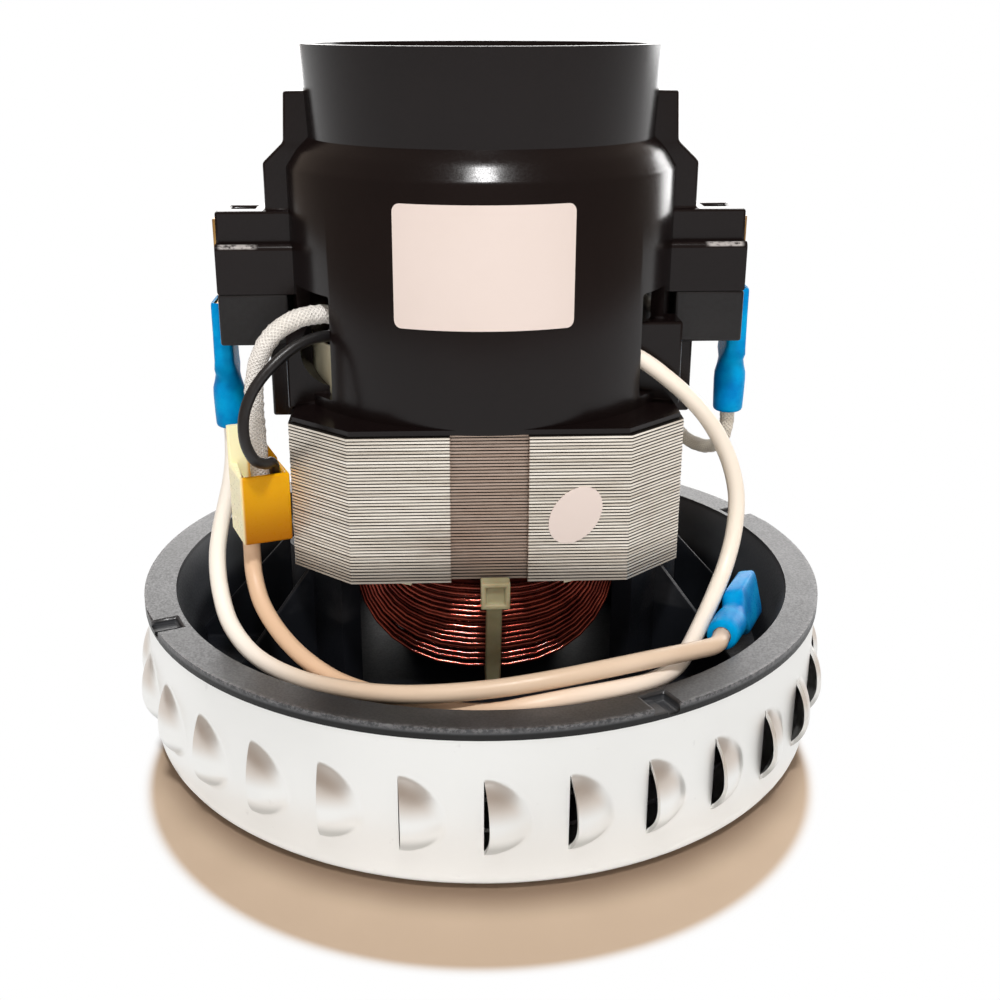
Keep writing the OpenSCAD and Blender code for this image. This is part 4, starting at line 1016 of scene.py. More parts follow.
@dataclass
class Tube:
    """Round tube along a path, with a UV map that runs along it."""

    name: str
    path: list[Vector]
    diameter: float
    finish: Finish
    sides: int

    UV_NAME = "along_wire"

    def build(self) -> Piece:
        """Sweep the tube as an object with its finish.

        Returns:
            The tube as a mesh object.
        """
        mesh = self.mesh()
        mesh.materials.append(self.finish.material())
        return linked(self.name, mesh)

    def mesh(self) -> bpy.types.Mesh:
        """Sweep the tube.

        Returns:
            The tube as a mesh.
        """
        curve = bpy.data.curves.new(f"{self.name}_line", "CURVE")
        curve.dimensions = "3D"
        curve.twist_mode = "MINIMUM"
        curve.bevel_depth = self.diameter / 2
        curve.bevel_resolution = max(0, self.sides // 4 - 1)
        curve.use_fill_caps = True
        spline = curve.splines.new("POLY")
        spline.points.add(len(self.path) - 1)
        for point, place in zip(spline.points, self.path):
            point.co = (*place, 1)
        line = linked(curve.name, curve)
        graph = bpy.context.evaluated_depsgraph_get()
        mesh = bpy.data.meshes.new_from_object(line.evaluated_get(graph))
        mesh.name = self.name
        bpy.data.objects.remove(line)
        self.lay_uv(mesh)
        mesh.shade_smooth()
        mesh.materials.clear()
        return mesh

    def lay_uv(self, mesh: bpy.types.Mesh) -> None:
        """Lay a UV map: metres along the tube, and the share round it.

        Args:
            mesh: Mesh of the tube.
        """
        for layer in list(mesh.uv_layers):
            mesh.uv_layers.remove(layer)
        uv = mesh.uv_layers.new(name=self.UV_NAME)
        lengths = [0.0]
        for a, b in zip(self.path, self.path[1:]):
            lengths.append(lengths[-1] + (b - a).length)
        sides = len(mesh.vertices) // len(self.path)
        for face in mesh.polygons:
            rings = [mesh.loops[i].vertex_index for i in face.loop_indices]
            wraps = {v % sides for v in rings} >= {0, sides - 1}
            for index, vertex in zip(face.loop_indices, rings):
                ring, place = divmod(vertex, sides)
                if wraps and place == 0:
                    place = sides
                uv.data[index].uv = (lengths[min(ring, len(lengths) - 1)], place / sides)


@dataclass
class TerminalSleeve:
    """Vinyl sleeve of a push-on terminal: a round barrel, a waist and a flat pocket."""

    node: str
    place: Matrix
    wall: float = 0.35 * MM
    sides: int = 48
    rings: tuple[tuple[float, float, float, float], ...] = (
        (-0.05, 1.5, 1.5, 2), (-0.05, 2.2, 2.2, 2), (0.12, 2.42, 2.42, 2), (0.5, 2.56, 2.56, 2),
        (2.5, 2.64, 2.64, 2), (5.6, 2.72, 2.72, 2), (6.9, 2.66, 2.7, 2), (8.2, 2.3, 2.55, 2.1),
        (9.3, 2.05, 2.75, 2.4), (10.6, 1.95, 3.75, 4.5), (12, 1.72, 4.06, 6), (17, 1.66, 4.1, 6),
        (21.7, 1.66, 4.1, 6), (22.05, 1.58, 4.02, 6), (22.2, 1.45, 3.9, 6))

    def point(self, column: int, row: int) -> Vector:
        """Point of the sleeve's outer face.

        Args:
            column: Step round the sleeve.
            row: Ring, from the wire upwards.

        Returns:
            The point, in the frame of the unit.
        """
        height, thick, wide, power = self.rings[row]
        a = math.tau * column / self.sides
        x, y = (
            math.copysign(abs(share) ** (2 / power), share) for share in (math.cos(a), math.sin(a)))
        return self.place @ (MM * Vector((thick * x, wide * y, height)))

    def build(self) -> Piece:
        """Mould the sleeve.

        Returns:
            The sleeve.
        """
        shape = draped(self.sides, len(self.rings) - 1, self.point)
        bmesh.ops.remove_doubles(shape, verts=shape.verts[:], dist=WELD)
        shape.faces.ensure_lookup_table()
        face_outwards(shape, shape.faces[0], self.place.translation)
        piece = object_from(shape, f"{self.node}_moulded", Palette.vinyl, sharp=60)
        thicken(piece, self.wall)
        return settle(piece, Body.HOUSING, "terminal_vinyl", self.node)


@dataclass
class Wire:
    """One wire of the unit, from where it leaves a piece to where it goes in."""

    node: str
    diameter: float
    finish: Finish
    slot: str
    far_end: WireEnd
    route: tuple[Point, ...]
    goes_with: tuple[str, ...] = ()
    steps: int = 5
    sides: int = 16
    unevenness: float = 0.0

    def build(self, nodes: Nodes) -> Piece:
        """Args:
            nodes: Objects of the solids.

        Returns:
            The wire.
        """
        path = smooth_path([tuple(MM * c for c in point) for point in self.route], self.steps)
        piece = Tube(self.node + "_laid", path, self.diameter, self.finish, self.sides).build()
        if self.unevenness:
            self.roughen(piece, path)
        settle(piece, Body.HOUSING, self.slot, self.node)
        [nodes[name] for name in self.goes_with]
        return piece

    def roughen(self, piece: Piece, path: Sequence[Vector]) -> None:
        """Make a woven sleeve a little uneven.

        Args:
            piece: Mesh of the sleeve.
            path: Middle line of the sleeve.
        """
        draw = random.Random(self.node)
        sides = len(piece.data.vertices) // len(path)
        for vertex in piece.data.vertices:
            middle = path[min(vertex.index // sides, len(path) - 1)]
            vertex.co = middle + (vertex.co - middle) * (1 - self.unevenness * draw.random())


@dataclass
class Wiring:
    """Supply lead, link wire, black wire, sleeved wire and right brush wire."""

    lead_d: float = 2.8 * MM
    black_d: float = 1.8 * MM
    sleeved_d: float = 3.2 * MM
    brush_wire_d: float = 2.6 * MM
    lead_way: Point = (1.79969, 3.79889, -0.30008)
    lead_roll: float = math.radians(75)
    connector_rounding: float = 0.4 * MM

    def wires(self) -> list[Wire]:
        """The wires with their routes, in millimetres as in the part's source.

        Returns:
            The wires.
        """
        lead = (
            (-43.65, 0, 54.6), (-43.65, 0, 52.1), (-43.7, -1.2, 48.6), (-43.9, -4, 45.8), (-44.2, -8.6, 43.3),
            (-44.5, -14, 40.8), (-44.4, -19.6, 37.8), (-43.4, -24.8, 34), (-41.2, -29.8, 30),
            (-36.6, -35.4, 27.2), (-29.8, -40.8, 26.2), (-22, -45.4, 26.6), (-14.5, -48.4, 27.3),
            (-7, -50, 28.2), (0.5, -50.5, 29.1), (8, -50, 30), (15.5, -48.2, 30.5), (23.5, -44.8, 30.3),
            (31, -40.4, 29.4), (35.4, -37.2, 28.7), (37.2, -33.4, 28.4))
        link = (
            (-38.2, -22.5, 42.3), (-38.2, -22.5, 39.8), (-37.9, -24, 36.2), (-36.4, -27.6, 32.8),
            (-33.4, -32, 29.9), (-29.4, -36.4, 27.6), (-24.5, -40.4, 25.9), (-19.5, -43.4, 25.2),
            (-14.5, -45.8, 24.9), (-9.5, -48, 24.8), (-4.5, -50.1, 25), (0.5, -51.8, 26), (5.5, -52.3, 27.2),
            (11.5, -51.3, 27.8), (18.5, -48.9, 27.7), (24, -45.4, 27), (28, -41, 26.5), (31, -36, 26.8),
            (34, -30.4, 28.1), (37.4, -24.4, 30.8), (40.5, -19.4, 34.8), (42.3, -16.4, 40), (42.6, -15, 45.4),
            (41.4, -14.8, 50.6), (39.2, -15.4, 55.4), (36.2, -16.8, 60), (32.8, -18.1, 63.8),
            (29.2, -18.6, 67), (25.4, -18.2, 69.8), (21.6, -16.9, 71.6))
        black = (
            (-21, -15.5, 73.8), (-25.4, -18.4, 74.4), (-29.2, -21.4, 73.8), (-32.8, -24, 71.4),
            (-35.8, -25.8, 68), (-37.4, -27, 64.2), (-37.4, -28, 60.4), (-36.2, -28, 57.4), (-34.8, -26, 56),
            (-34, -23.6, 55.4), (-33.8, -22.3, 53.3), (-33.8, -22.3, 50.8))
        sleeved = (
            (-21, -14.6, 76.8), (-25.6, -17.4, 77.7), (-29.3, -19.6, 77.5), (-32.6, -20.7, 75.7),
            (-35, -21, 72.4), (-36.4, -21, 67.4), (-36.6, -20.6, 62), (-36.6, -19.8, 56),
            (-36.6, -19.6, 50.8))
        brush_wire = (
            (43.65, 0, 56.4), (43.65, 0, 53.9), (43.4, 1.2, 50.8), (42.5, 3.8, 48.5), (41, 7, 47.4),
            (39, 10.4, 47.6), (37, 13.8, 49.2), (35.3, 17, 52), (34, 19.6, 55.8), (32.9, 20.8, 60.6),
            (31.6, 20.6, 65.2), (28.8, 19.4, 69), (25.2, 18.1, 71.2), (21.4, 16.6, 72))
        return [
            Wire("lead_wire", self.lead_d, Palette.lead, "white_insulation", WireEnd.CONNECTOR, lead,
                 ("terminal_sleeve_lead", "receptacle_lead")),
            Wire("link_wire", self.lead_d, Palette.link, "white_insulation", WireEnd.HOUSING, link),
            Wire("black_wire", self.black_d, Palette.black_wire, "black_insulation", WireEnd.CONNECTOR, black,
                 ("connector_housing",)),
            Wire("sleeved_wire", self.sleeved_d, Palette.woven, "woven_sleeve", WireEnd.HOUSING, sleeved,
                 steps=10, sides=24, unevenness=0.12),
            Wire("brush_wire_right", self.brush_wire_d, Palette.grey_woven, "grey_sleeve", WireEnd.HOUSING,
                 brush_wire, steps=8, sides=24, unevenness=0.1),
        ]

    def build(self, nodes: Nodes) -> None:
        """Lay all wires.

        Args:
            nodes: Objects of the solids.
        """
        wires = self.wires()
        ends = {**nodes, **self.ends(nodes, wires[0].route[-1])}
        for wire in wires:
            wire.build(ends)

    def ends(self, nodes: Nodes, lead_tip: Point) -> Nodes:
        """Mould the pieces at the ends of the wires: the free terminal's sleeve and the connector.

        Args:
            nodes: Objects of the solids.
            lead_tip: Where the supply lead ends, in millimetres.

        Returns:
            The pieces, under the names of the solids that they stand for.
        """
        way = Vector(self.lead_way)
        tilt, yaw = math.acos(way.z / way.length), math.atan2(way.y, way.x)
        place = (
            Matrix.Translation(MM * Vector(lead_tip)) @ Matrix.Rotation(yaw, 4, "Z")
            @ Matrix.Rotation(tilt, 4, "Y") @ Matrix.Rotation(self.lead_roll, 4, "Z"))
        sleeve = TerminalSleeve("terminal_sleeve_lead", place).build()
        connector = Dressing(
            "connector_housing", Palette.connector, "connector_plastic", self.connector_rounding)
        return {"terminal_sleeve_lead": sleeve, "connector_housing": connector.build(nodes)}


@dataclass
class FanCover:
    """Pressed cover whose louvres are lifted out of the wall at straight cuts."""

    radius: float = 59.7 * MM
    height: float = 25.9 * MM
    sheet: float = 0.7 * MM
    edge_radius: float = 3.5 * MM
    eye_radius: float = 18 * MM
    lip: float = 1.8 * MM
    bead_radius: float = 40 * MM
    bead_width: float = 5 * MM
    bead_height: float = 0.8 * MM
    louvres: int = 30
    phase: float = math.radians(4)
    louvre_middle: float = 13 * MM
    louvre_half: float = 6.3 * MM
    louvre_out: float = 2.35 * MM
    louvre_reach: float = 7.2 * MM
    slit: float = 0.8 * MM
    fullest: float = -0.24
    swell: float = 0.82
    fade: float = 1.35
    hem: float = 0.35 * MM
    lip_bend: float = 0.2
    lift_columns: int = 20
    lift_rows: int = 26
    bend_rows: int = 7
    bead_rows: int = 8

    def columns(self) -> list[float]:
        """Distances of the mesh columns from a cut, round the wall."""
        pitch = math.tau * self.radius / self.louvres
        near = [self.louvre_reach * i / self.lift_columns for i in range(self.lift_columns + 1)]
        return [*near, self.louvre_reach + self.hem, (self.louvre_reach + pitch) / 2, pitch - self.hem, pitch]

    def profile(self) -> list[Span]:
        """Radius and height of the mesh rows, from the rim down to the eye."""
        low, high = self.louvre_middle - self.louvre_half, self.louvre_middle + self.louvre_half
        wall = [self.height, (self.height + high) / 2, high + self.hem]
        wall += [high + (low - high) * i / self.lift_rows for i in range(self.lift_rows + 1)]
        points = [(self.radius, z) for z in [*wall, low - self.hem, (low + self.edge_radius) / 2]]
        for i in range(self.bend_rows + 1):
            a = 0.5 * math.pi * i / self.bend_rows
            points.append((
                self.radius - self.edge_radius * (1 - math.cos(a)), self.edge_radius * (1 - math.sin(a))))
        for i in range(self.bead_rows + 1):
            share = 1 - 2 * i / self.bead_rows
            points.append((
                self.bead_radius + share * self.bead_width / 2,
                self.bead_height * math.cos(0.5 * math.pi * share) ** 2))
        bend = self.lip_bend * self.sheet
        return [
            *points, (self.eye_radius + self.sheet, 0), (self.eye_radius + bend, bend),
            (self.eye_radius, self.sheet), (self.eye_radius, self.lip)]

    def lift(self, z: float, column: float) -> float:
        """Share of the full lift of the sheet: half a dome, fullest at the cut and below its middle.

        Args:
            z: Height.
            column: Distance from the cut.

        Returns:
            The share, from 0 to 1.
        """
        off = (z - self.louvre_middle) / self.louvre_half - self.fullest
        v = min(1.0, off / (1 - self.fullest) if off > 0 else -off / (1 + self.fullest))
        u = column / self.louvre_reach / max(math.sqrt(1 - v * v), WELD)
        return (1 - v * v) ** self.swell * max(0.0, 1 - u * u) ** self.fade

    def place(self, column: float, radius: float, z: float) -> Vector:
        """Place of a mesh point of the first sector.

        Args:
            column: Distance from the cut.
            radius: Radius of the row.
            z: Height of the row.

        Returns:
            The point.
        """
        lift = self.lift(z, column) if radius == self.radius else 0.0
        angle = self.phase + (column + self.slit * lift) / self.radius
        out = radius + self.louvre_out * lift
        return Vector((out * math.cos(angle), out * math.sin(angle), z))

    def build(self) -> Piece:
        """Press one sector, repeat it round the axis and give the sheet its thickness.

        Returns:
            The cover.
        """
        columns, rows = self.columns(), self.profile()
        shape = draped(
            len(columns) - 1, len(rows) - 1, lambda column, row: self.place(columns[column], *rows[row]))
        sector = whole(shape)
        for i in range(1, self.louvres):
            turn = Matrix.Rotation(math.tau * i / self.louvres, 3, "Z")
            bmesh.ops.rotate(shape, verts=copied(shape, sector), matrix=turn)
        bmesh.ops.remove_doubles(shape, verts=shape.verts[:], dist=SEAM)
        wall = max(shape.faces, key=lambda face: face.calc_center_median().z)
        face_outwards(shape, wall, Vector((0, 0, self.height)))
        piece = object_from(shape, "cover_pressed", Palette.cover, sharp=60)
        thicken(piece, self.sheet)
        return settle(piece, Body.HOUSING, "cover_aluminium", "fan_cover")


@dataclass
class TopCasing:
    """Moulded casing with a bulged shoulder and soft ledges on its brush housings."""

    barrel_radius: float = 31.8 * MM
    neck_radius: float = 28.1 * MM
    shoulder_low: float = 98.9 * MM
    shoulder_high: float = 103.5 * MM
    bulge: float = 0.36 * MM
    fullest: float = 0.625
    roundness: float = 1.25
    cuts: int = 7
    ledge: Span = (8 * MM, 87 * MM)
    ledge_round: float = 0.9 * MM
    ledge_faces: int = 3
    rounding: float = 0.4 * MM

    def build(self, nodes: Nodes) -> Piece:
        """Round the casing's ledges and edges and bulge its shoulder.

        Args:
            nodes: Objects of the solids.

        Returns:
            The casing.
        """
        shape = welded(nodes["top_casing"])
        depth, height = self.ledge
        ledges = [
            edge for edge in shape.edges
            if all(abs(v.co.z - height) < NEAR and abs(abs(v.co.y) - depth) < NEAR for v in edge.verts)
        ]
        log.info("top casing has %d ledges", len(ledges))
        bevel(shape, ledges, self.ledge_round, self.ledge_faces)
        round_edges(shape, self.rounding)
        self.bulge_shoulder(shape)
        piece = object_from(shape, "top_casing_moulded", Palette.casing)
        return settle(piece, Body.HOUSING, "casing_plastic", "top_casing")

    def bulge_shoulder(self, shape: Shape) -> None:
        """Cut the sloping shoulder into rings and push them out to a soft curve.

        Args:
            shape: The casing.
        """
        rise = self.shoulder_high - self.shoulder_low
        for i in range(1, self.cuts + 1):
            bmesh.ops.bisect_plane(
                shape, geom=whole(shape), plane_no=(0, 0, 1),
                plane_co=(0, 0, self.shoulder_low + rise * i / (self.cuts + 1)))
        for vertex in shape.verts:
            share = (vertex.co.z - self.shoulder_low) / rise
            flat = vertex.co.to_2d().to_3d()
            radius = self.barrel_radius + (self.neck_radius - self.barrel_radius) * share
            if 0 < share < 1 and abs(flat.length - radius) < NEAR:
                near = share / self.fullest if share < self.fullest else (1 - share) / (1 - self.fullest)
                vertex.co += flat.normalized() * self.bulge * (1 - (1 - near) ** self.roundness)


@dataclass
class LaminationStack:
    """Stack of punched sheets, each with its own small shift."""

    sheets: int = 46
    gap: float = 0.16 * MM
    shift: float = 0.035 * MM
    seed: int = 11

    def build(self, nodes: Nodes) -> Piece:
        """Make one sheet of the solid's outline and stack it.

        Args:
            nodes: Objects of the solids.

        Returns:
            The stack.
        """
        low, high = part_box("stator_core")
        pitch = (high.z - low.z) / self.sheets
        shape = welded(nodes["stator_core"])
        middle = (low.z + high.z) / 2
        for vertex in shape.verts:
            vertex.co.z = low.z + (pitch - self.gap if vertex.co.z > middle else 0)
        sheet = whole(shape)
        draw = random.Random(self.seed)
        for i in range(1, self.sheets):
            way = Vector((draw.uniform(-1, 1) * self.shift, draw.uniform(-1, 1) * self.shift, i * pitch))
            bmesh.ops.translate(shape, vec=way, verts=copied(shape, sheet))
        piece = object_from(shape, "stack_laminated", Palette.lamination)
        return settle(piece, Body.HOUSING, "lamination_steel", "stator_core")


@dataclass
class FieldCoils:
    """Field windings: loops of enamelled wire over an inner bundle, front and rear; the inner layer and the
    bundle take darker copies of the enamel, as painted shade.
    """

    wire: float = 0.6 * MM
    loops: int = 15
    rings: int = 40
    slot_radius: float = 28.1 * MM
    first_angle: float = math.radians(62.9)
    last_angle: float = math.radians(37.5)
    low: float = 37.4 * MM
    high: float = 62.4 * MM
    first: float = 1.6 * MM
    drop: float = 18.5 * MM
    rise: float = 12 * MM
    drop_front: Span = (28.8 * MM, 24.8 * MM)
    rise_front: Span = (27.6 * MM, 20.6 * MM)
    stray: float = 0.4 * MM
    layer_depth: float = 0.6 * MM
    square: float = 0.82
    straight: float = 0.25
    first_ring: int = 2
    seed: int = 5

    def point(self, share: float, step: float, stray: float, inset: float) -> Vector:
        """Point of a loop of the front winding.

        Args:
            share: Place of the loop in its layer, from the pole outwards.
            step: Way round the loop, from 0 to 1.
            stray: How far the loop strays along its end turns.
            inset: How far the layer lies inside the outer one.

        Returns:
            The point.
        """
        angle = self.first_angle + (self.last_angle - self.first_angle) * share
        foot = Vector((math.cos(angle), math.sin(angle))) * (self.slot_radius - inset)
        up = step >= 0.5
        s = 2 * (step - 0.5 if up else step)
        hand = 1 if up else -1
        start, turn = (self.low, self.high) if up else (self.high, self.low)
        if s < self.straight:
            return Vector((hand * foot.x, -foot.y, start + (turn - start) * s / self.straight))
        a = math.pi * (s - self.straight) / (1 - self.straight)
        reach, front = (self.rise, self.rise_front) if up else (self.drop, self.drop_front)
        far = self.first + (reach - self.first) * share - inset + stray
        y = front[0] + (front[1] - front[0]) * share - inset
        swell = math.sin(a) ** 2
        across = math.copysign(abs(math.cos(a)) ** self.square, math.cos(a))
        return Vector((
            hand * foot.x * across, -(foot.y + (y - foot.y) * swell),
            turn + hand * far * math.sin(a) ** self.square))

    def layer(self, inset: float, offset: float) -> list[Vector]:
        """Path of one layer of loops.

        Args:
            inset: How far it lies inside the outer layer.
            offset: Shift of its loops, in loops.

        Returns:
            Points of the path.
        """
        draw = random.Random(self.seed + int(offset * 10))
        strays = [draw.uniform(-self.stray, self.stray) for _ in range(self.loops + 2)]
        path = []
        for i in range(self.first_ring, self.loops * self.rings):
            loop, way = divmod(i, self.rings)
            blend = way / self.rings
            stray = strays[loop] * (1 - blend) + strays[loop + 1] * blend
            share = min(1.0, max(0.0, (i / self.rings + offset) / self.loops))
            path.append(self.point(share, blend, stray, inset))
        return path

    def build(self, nodes: Nodes) -> None:
        """Wind both field windings and dress the bundles inside them.

        Args:
            nodes: Objects of the solids.
        """
        half_turn = Matrix.Rotation(math.pi, 4, "Z")
        for word, turn in (("front", Matrix.Identity(4)), ("rear", half_turn)):
            # The inner layer takes a darker copy of the enamel, as painted shade.
            for layer, inset, offset, finish, replaced in (
                    ("outer", 0, 0, Palette.enamel, (f"field_winding_{word}",)),
                    ("inner", self.layer_depth, 0.5, Palette.enamel_deep, ())):
                path = [turn @ point for point in self.layer(inset, offset)]
                tube = Tube(f"coil_{word}_{layer}", path, self.wire, finish, WIRE_SIDES)
                settle(tube.build(), Body.HOUSING, "enamelled_copper", *replaced)
            core = f"field_core_{word}"
            # The bundle takes the darkest copy of the enamel, as painted shade.
            bundle = object_from(welded(nodes[core]), f"coil_{word}_bundle", Palette.enamel_core)
            settle(bundle, Body.HOUSING, "enamelled_copper", core)


@dataclass
class ArmatureWires:
    """Wires that cross the heads of the armature winding from slot to slot."""

    wire: float = 0.6 * MM
    slots: int = 12
    layers: int = 5
    span: float = math.radians(150)
    radius: float = 16.2 * MM
    corner: float = 3 * MM
    inner_radius: float = 9 * MM
    first_reach: float = 0.2
    layer_reach: float = 0.35
    steps: int = 28

    def surface(self, way: float, height: float) -> Span:
        """Radius and height of a point on the head, from the stack over the outer corner inwards.

        Args:
            way: Distance from the stack along the head's outline.
            height: Height of the head.

        Returns:
            Radius and height above the stack.
        """
        wall, bend = height - self.corner, 0.5 * math.pi * self.corner
        if way < wall:
            return self.radius, way
        if way < wall + bend:
            a = (way - wall) / self.corner
            return self.radius - self.corner * (1 - math.cos(a)), wall + self.corner * math.sin(a)
        return max(self.inner_radius, self.radius - self.corner - (way - wall - bend)), height

    def wire_path(self, slot: int, layer: int, base: float, height: float, hand: int) -> list[Vector]:
        """Path of one wire over a head.

        Args:
            slot: Slot that it leaves.
            layer: Layer that it lies in.
            base: Height of the stack's end.
            height: Height of the head.
            hand: 1 for the upper head, -1 for the lower one.

        Returns:
            Points of the path.
        """
        far = height + self.corner * (self.first_reach + self.layer_reach * layer)
        path = []
        for step in range(self.steps + 1):
            share = step / self.steps
            angle = math.tau * (slot + layer / self.layers) / self.slots + hand * self.span * share
            radius, up = self.surface(far * math.sin(math.pi * share), height)
            path.append(Vector((radius * math.cos(angle), radius * math.sin(angle), base + hand * up)))
        return path

    def build(self) -> None:
        """Lay the wires of both heads."""
        low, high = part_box("armature_core")
        bottom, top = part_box("armature_winding")
        for word, base, height, hand in (
                ("lower", low.z, low.z - bottom.z, -1), ("upper", high.z, top.z - high.z, 1)):
            shape = bmesh.new()
            for slot in range(self.slots):
                for layer in range(self.layers):
                    path = self.wire_path(slot, layer, base, height, hand)
                    tube = Tube("armature_wire", path, self.wire, Palette.enamel, WIRE_SIDES).mesh()
                    shape.from_mesh(tube)
                    bpy.data.meshes.remove(tube)
            piece = object_from(shape, f"armature_wires_{word}", Palette.enamel)
            settle(piece, Body.ROTOR, "enamelled_copper")


@dataclass
class CableTies:
    """Nylon ties round the lower end turns, with an inset window in the head."""

    border: float = 1.1 * MM
    window: float = 0.7 * MM
    window_slope: float = 0.1 * MM
    rounding: float = 0.25 * MM

    def build(self, nodes: Nodes) -> None:
        """Dress both ties.

        Args:
            nodes: Objects of the solids.
        """
        for word in ("front", "rear"):
            name = f"cable_tie_{word}"
            shape = welded(nodes[name])
            face = max(shape.faces, key=lambda f: abs(f.calc_center_median().y) + abs(f.normal.y))
            bmesh.ops.inset_individual(shape, faces=[face], thickness=self.border)
            inside = bmesh.ops.inset_individual(
                shape, faces=[face], thickness=self.window_slope, depth=-self.window)
            log.info("%s head has a window with %d sides", name, len(inside["faces"]))
            round_edges(shape, self.rounding)
            piece = object_from(shape, f"{name}_moulded", Palette.nylon)
            settle(piece, Body.HOUSING, "nylon", name)


@dataclass
class Terminals:
    """Blue sleeves of the two brush terminals."""

    middle: float = 43.65 * MM
    left_height: float = 54.6 * MM
    right_height: float = 56.4 * MM

    def build(self) -> None:
        """Mould both sleeves."""
        for side, height in ((Side.LEFT, self.left_height), (Side.RIGHT, self.right_height)):
            place = Matrix.Translation((side.value * self.middle, 0, height))
            TerminalSleeve(f"terminal_sleeve_{side.word}", place).build()


@dataclass
class RatingLabel:
    """Bare rating label with rounded corners."""

    corner: float = 1.2 * MM
    corner_faces: int = 5
    corner_angle: float = 1.0
    radial: float = 0.9
    sharp: float = 20.0

    def is_corner(self, edge: Edge, ends: Span) -> bool:
        """Whether an edge crosses the label's thickness at one of its corners.

        Args:
            edge: The edge.
            ends: Heights of the label's lower and upper end.

        Returns:
            Whether it is a corner.
        """
        start, end = (vertex.co for vertex in edge.verts)
        way, out = (end - start).normalized(), start.to_2d().to_3d().normalized()
        return (
            abs(start.z - end.z) < WELD and abs(way.dot(out)) > self.radial
            and min(abs(start.z - height) for height in ends) < WELD
            and edge.calc_face_angle(0.0) > self.corner_angle)

    def build(self, nodes: Nodes) -> None:
        """Round the label's corners.

        Args:
            nodes: Objects of the solids.
        """
        shape = welded(nodes["rating_label"])
        heights = [vertex.co.z for vertex in shape.verts]
        ends = min(heights), max(heights)
        corners = [edge for edge in shape.edges if self.is_corner(edge, ends)]
        log.info("rating label has %d corners", len(corners))
        bmesh.ops.bevel(
            shape, geom=corners, offset=self.corner, segments=self.corner_faces, profile=0.5,
            affect="EDGES", material=-1)
        piece = object_from(shape, "rating_label_bare", Palette.label, self.sharp)
        settle(piece, Body.HOUSING, "label_film", "rating_label")


@dataclass
class BrushSprings:
    """Helical springs behind the carbon brushes, each riding on its brush."""

    start: float = 30.65 * MM
    length: float = 12.6 * MM
    height: float = 84 * MM
    radius: float = 2.1 * MM
    wire: float = 0.55 * MM
    turns: int = 8
    per_turn: int = 18
    travel: float = 6 * MM

    def build(self) -> None:
        """Wind both springs."""
        steps = self.turns * self.per_turn
        for side in Side:
            path = []
            for i in range(steps + 1):
                a = math.tau * i / self.per_turn
                x = self.start + self.wire / 2 + (self.length - self.wire) * i / steps
                path.append(Vector((
                    side.value * x, self.radius * math.cos(a), self.height + self.radius * math.sin(a))))
            name = f"brush_spring_{side.word}"
            piece = Tube(f"{name}_wound", path, self.wire, Palette.spring, WIRE_SIDES).build()
            settle(piece, side.brush, "spring_steel", name)
            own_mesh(piece)


@dataclass
class Solids:
    """Solids that keep their shape, with their finishes."""

    fine: float = 0.12 * MM
    soft: float = 0.4 * MM

    def dressings(self) -> list[Dressing]:
        """Dressings of all solids that keep their shape.

        Returns:
            The dressings.
        """
        paint, fine, soft = Palette, self.fine, self.soft
        house, rotor = Body.HOUSING, Body.ROTOR
        groups = [
            (paint.frame, "frame_plastic", house, soft, ("lower_frame",)),
            (paint.film, "slot_film", house, 0, ("slot_liners",)),
            (paint.label, "label_film", house, 0, ("oval_sticker",)),
            (paint.shaft, "shaft_steel", house, fine, ("stator_screws",)),
            (paint.bearing, "bearing_steel", house, fine, ("lower_bearing_outer", "upper_bearing_outer")),
            (paint.rubber, "rubber", house, fine, ("upper_bearing_ring",)),
            (paint.bearing, "bearing_steel", Body.LOWER_BALLS, 0, ("lower_bearing_balls",)),
            (paint.bearing, "bearing_steel", Body.UPPER_BALLS, 0, ("upper_bearing_balls",)),
            (paint.shaft, "shaft_steel", rotor, fine, ("shaft", "shaft_spacer")),
            (paint.lamination, "lamination_steel", rotor, 0, ("armature_core",)),
            # The armature winding takes the darkest copy of the enamel, as painted shade.
            (paint.enamel_core, "enamelled_copper", rotor, 0, ("armature_winding",)),
            (paint.copper, "commutator_copper", rotor, 0, ("commutator",)),
            (paint.impeller, "impeller_aluminium", rotor, fine, ("impeller_back_plate", "impeller_shroud")),
            (paint.impeller, "impeller_aluminium", rotor, 0, ("impeller_blades",)),
            (paint.shaft, "shaft_steel", rotor, fine, ("impeller_washers", "impeller_nut")),
            (paint.fan, "fan_plastic", rotor, fine, ("cooling_fan",)),
            (paint.bearing, "bearing_steel", rotor, fine, ("lower_bearing_inner", "upper_bearing_inner")),
        ]
        for side in Side:
            plates = tuple(f"{name}_{side.word}" for name in ("brush_sleeve", "brush_terminal", "receptacle"))
            groups += [
                (paint.cap, "frame_plastic", house, soft, (f"brush_cap_{side.word}",)),
                (paint.brass, "brass", house, fine, plates),
                (paint.carbon, "carbon", side.brush, fine, (f"carbon_brush_{side.word}",)),
            ]
        return [
            Dressing(name, finish, slot, rounding, body)
            for finish, slot, body, rounding, names in groups for name in names]

    def build(self, nodes: Nodes) -> None:
        """Dress the solids.

        Args:
            nodes: Objects of the solids.
        """
        for dressing in self.dressings():
            dressing.build(nodes)
        mesh = nodes["receptacle_lead"].data
        mesh.materials.clear()
        mesh.materials.append(Palette.brass.material())


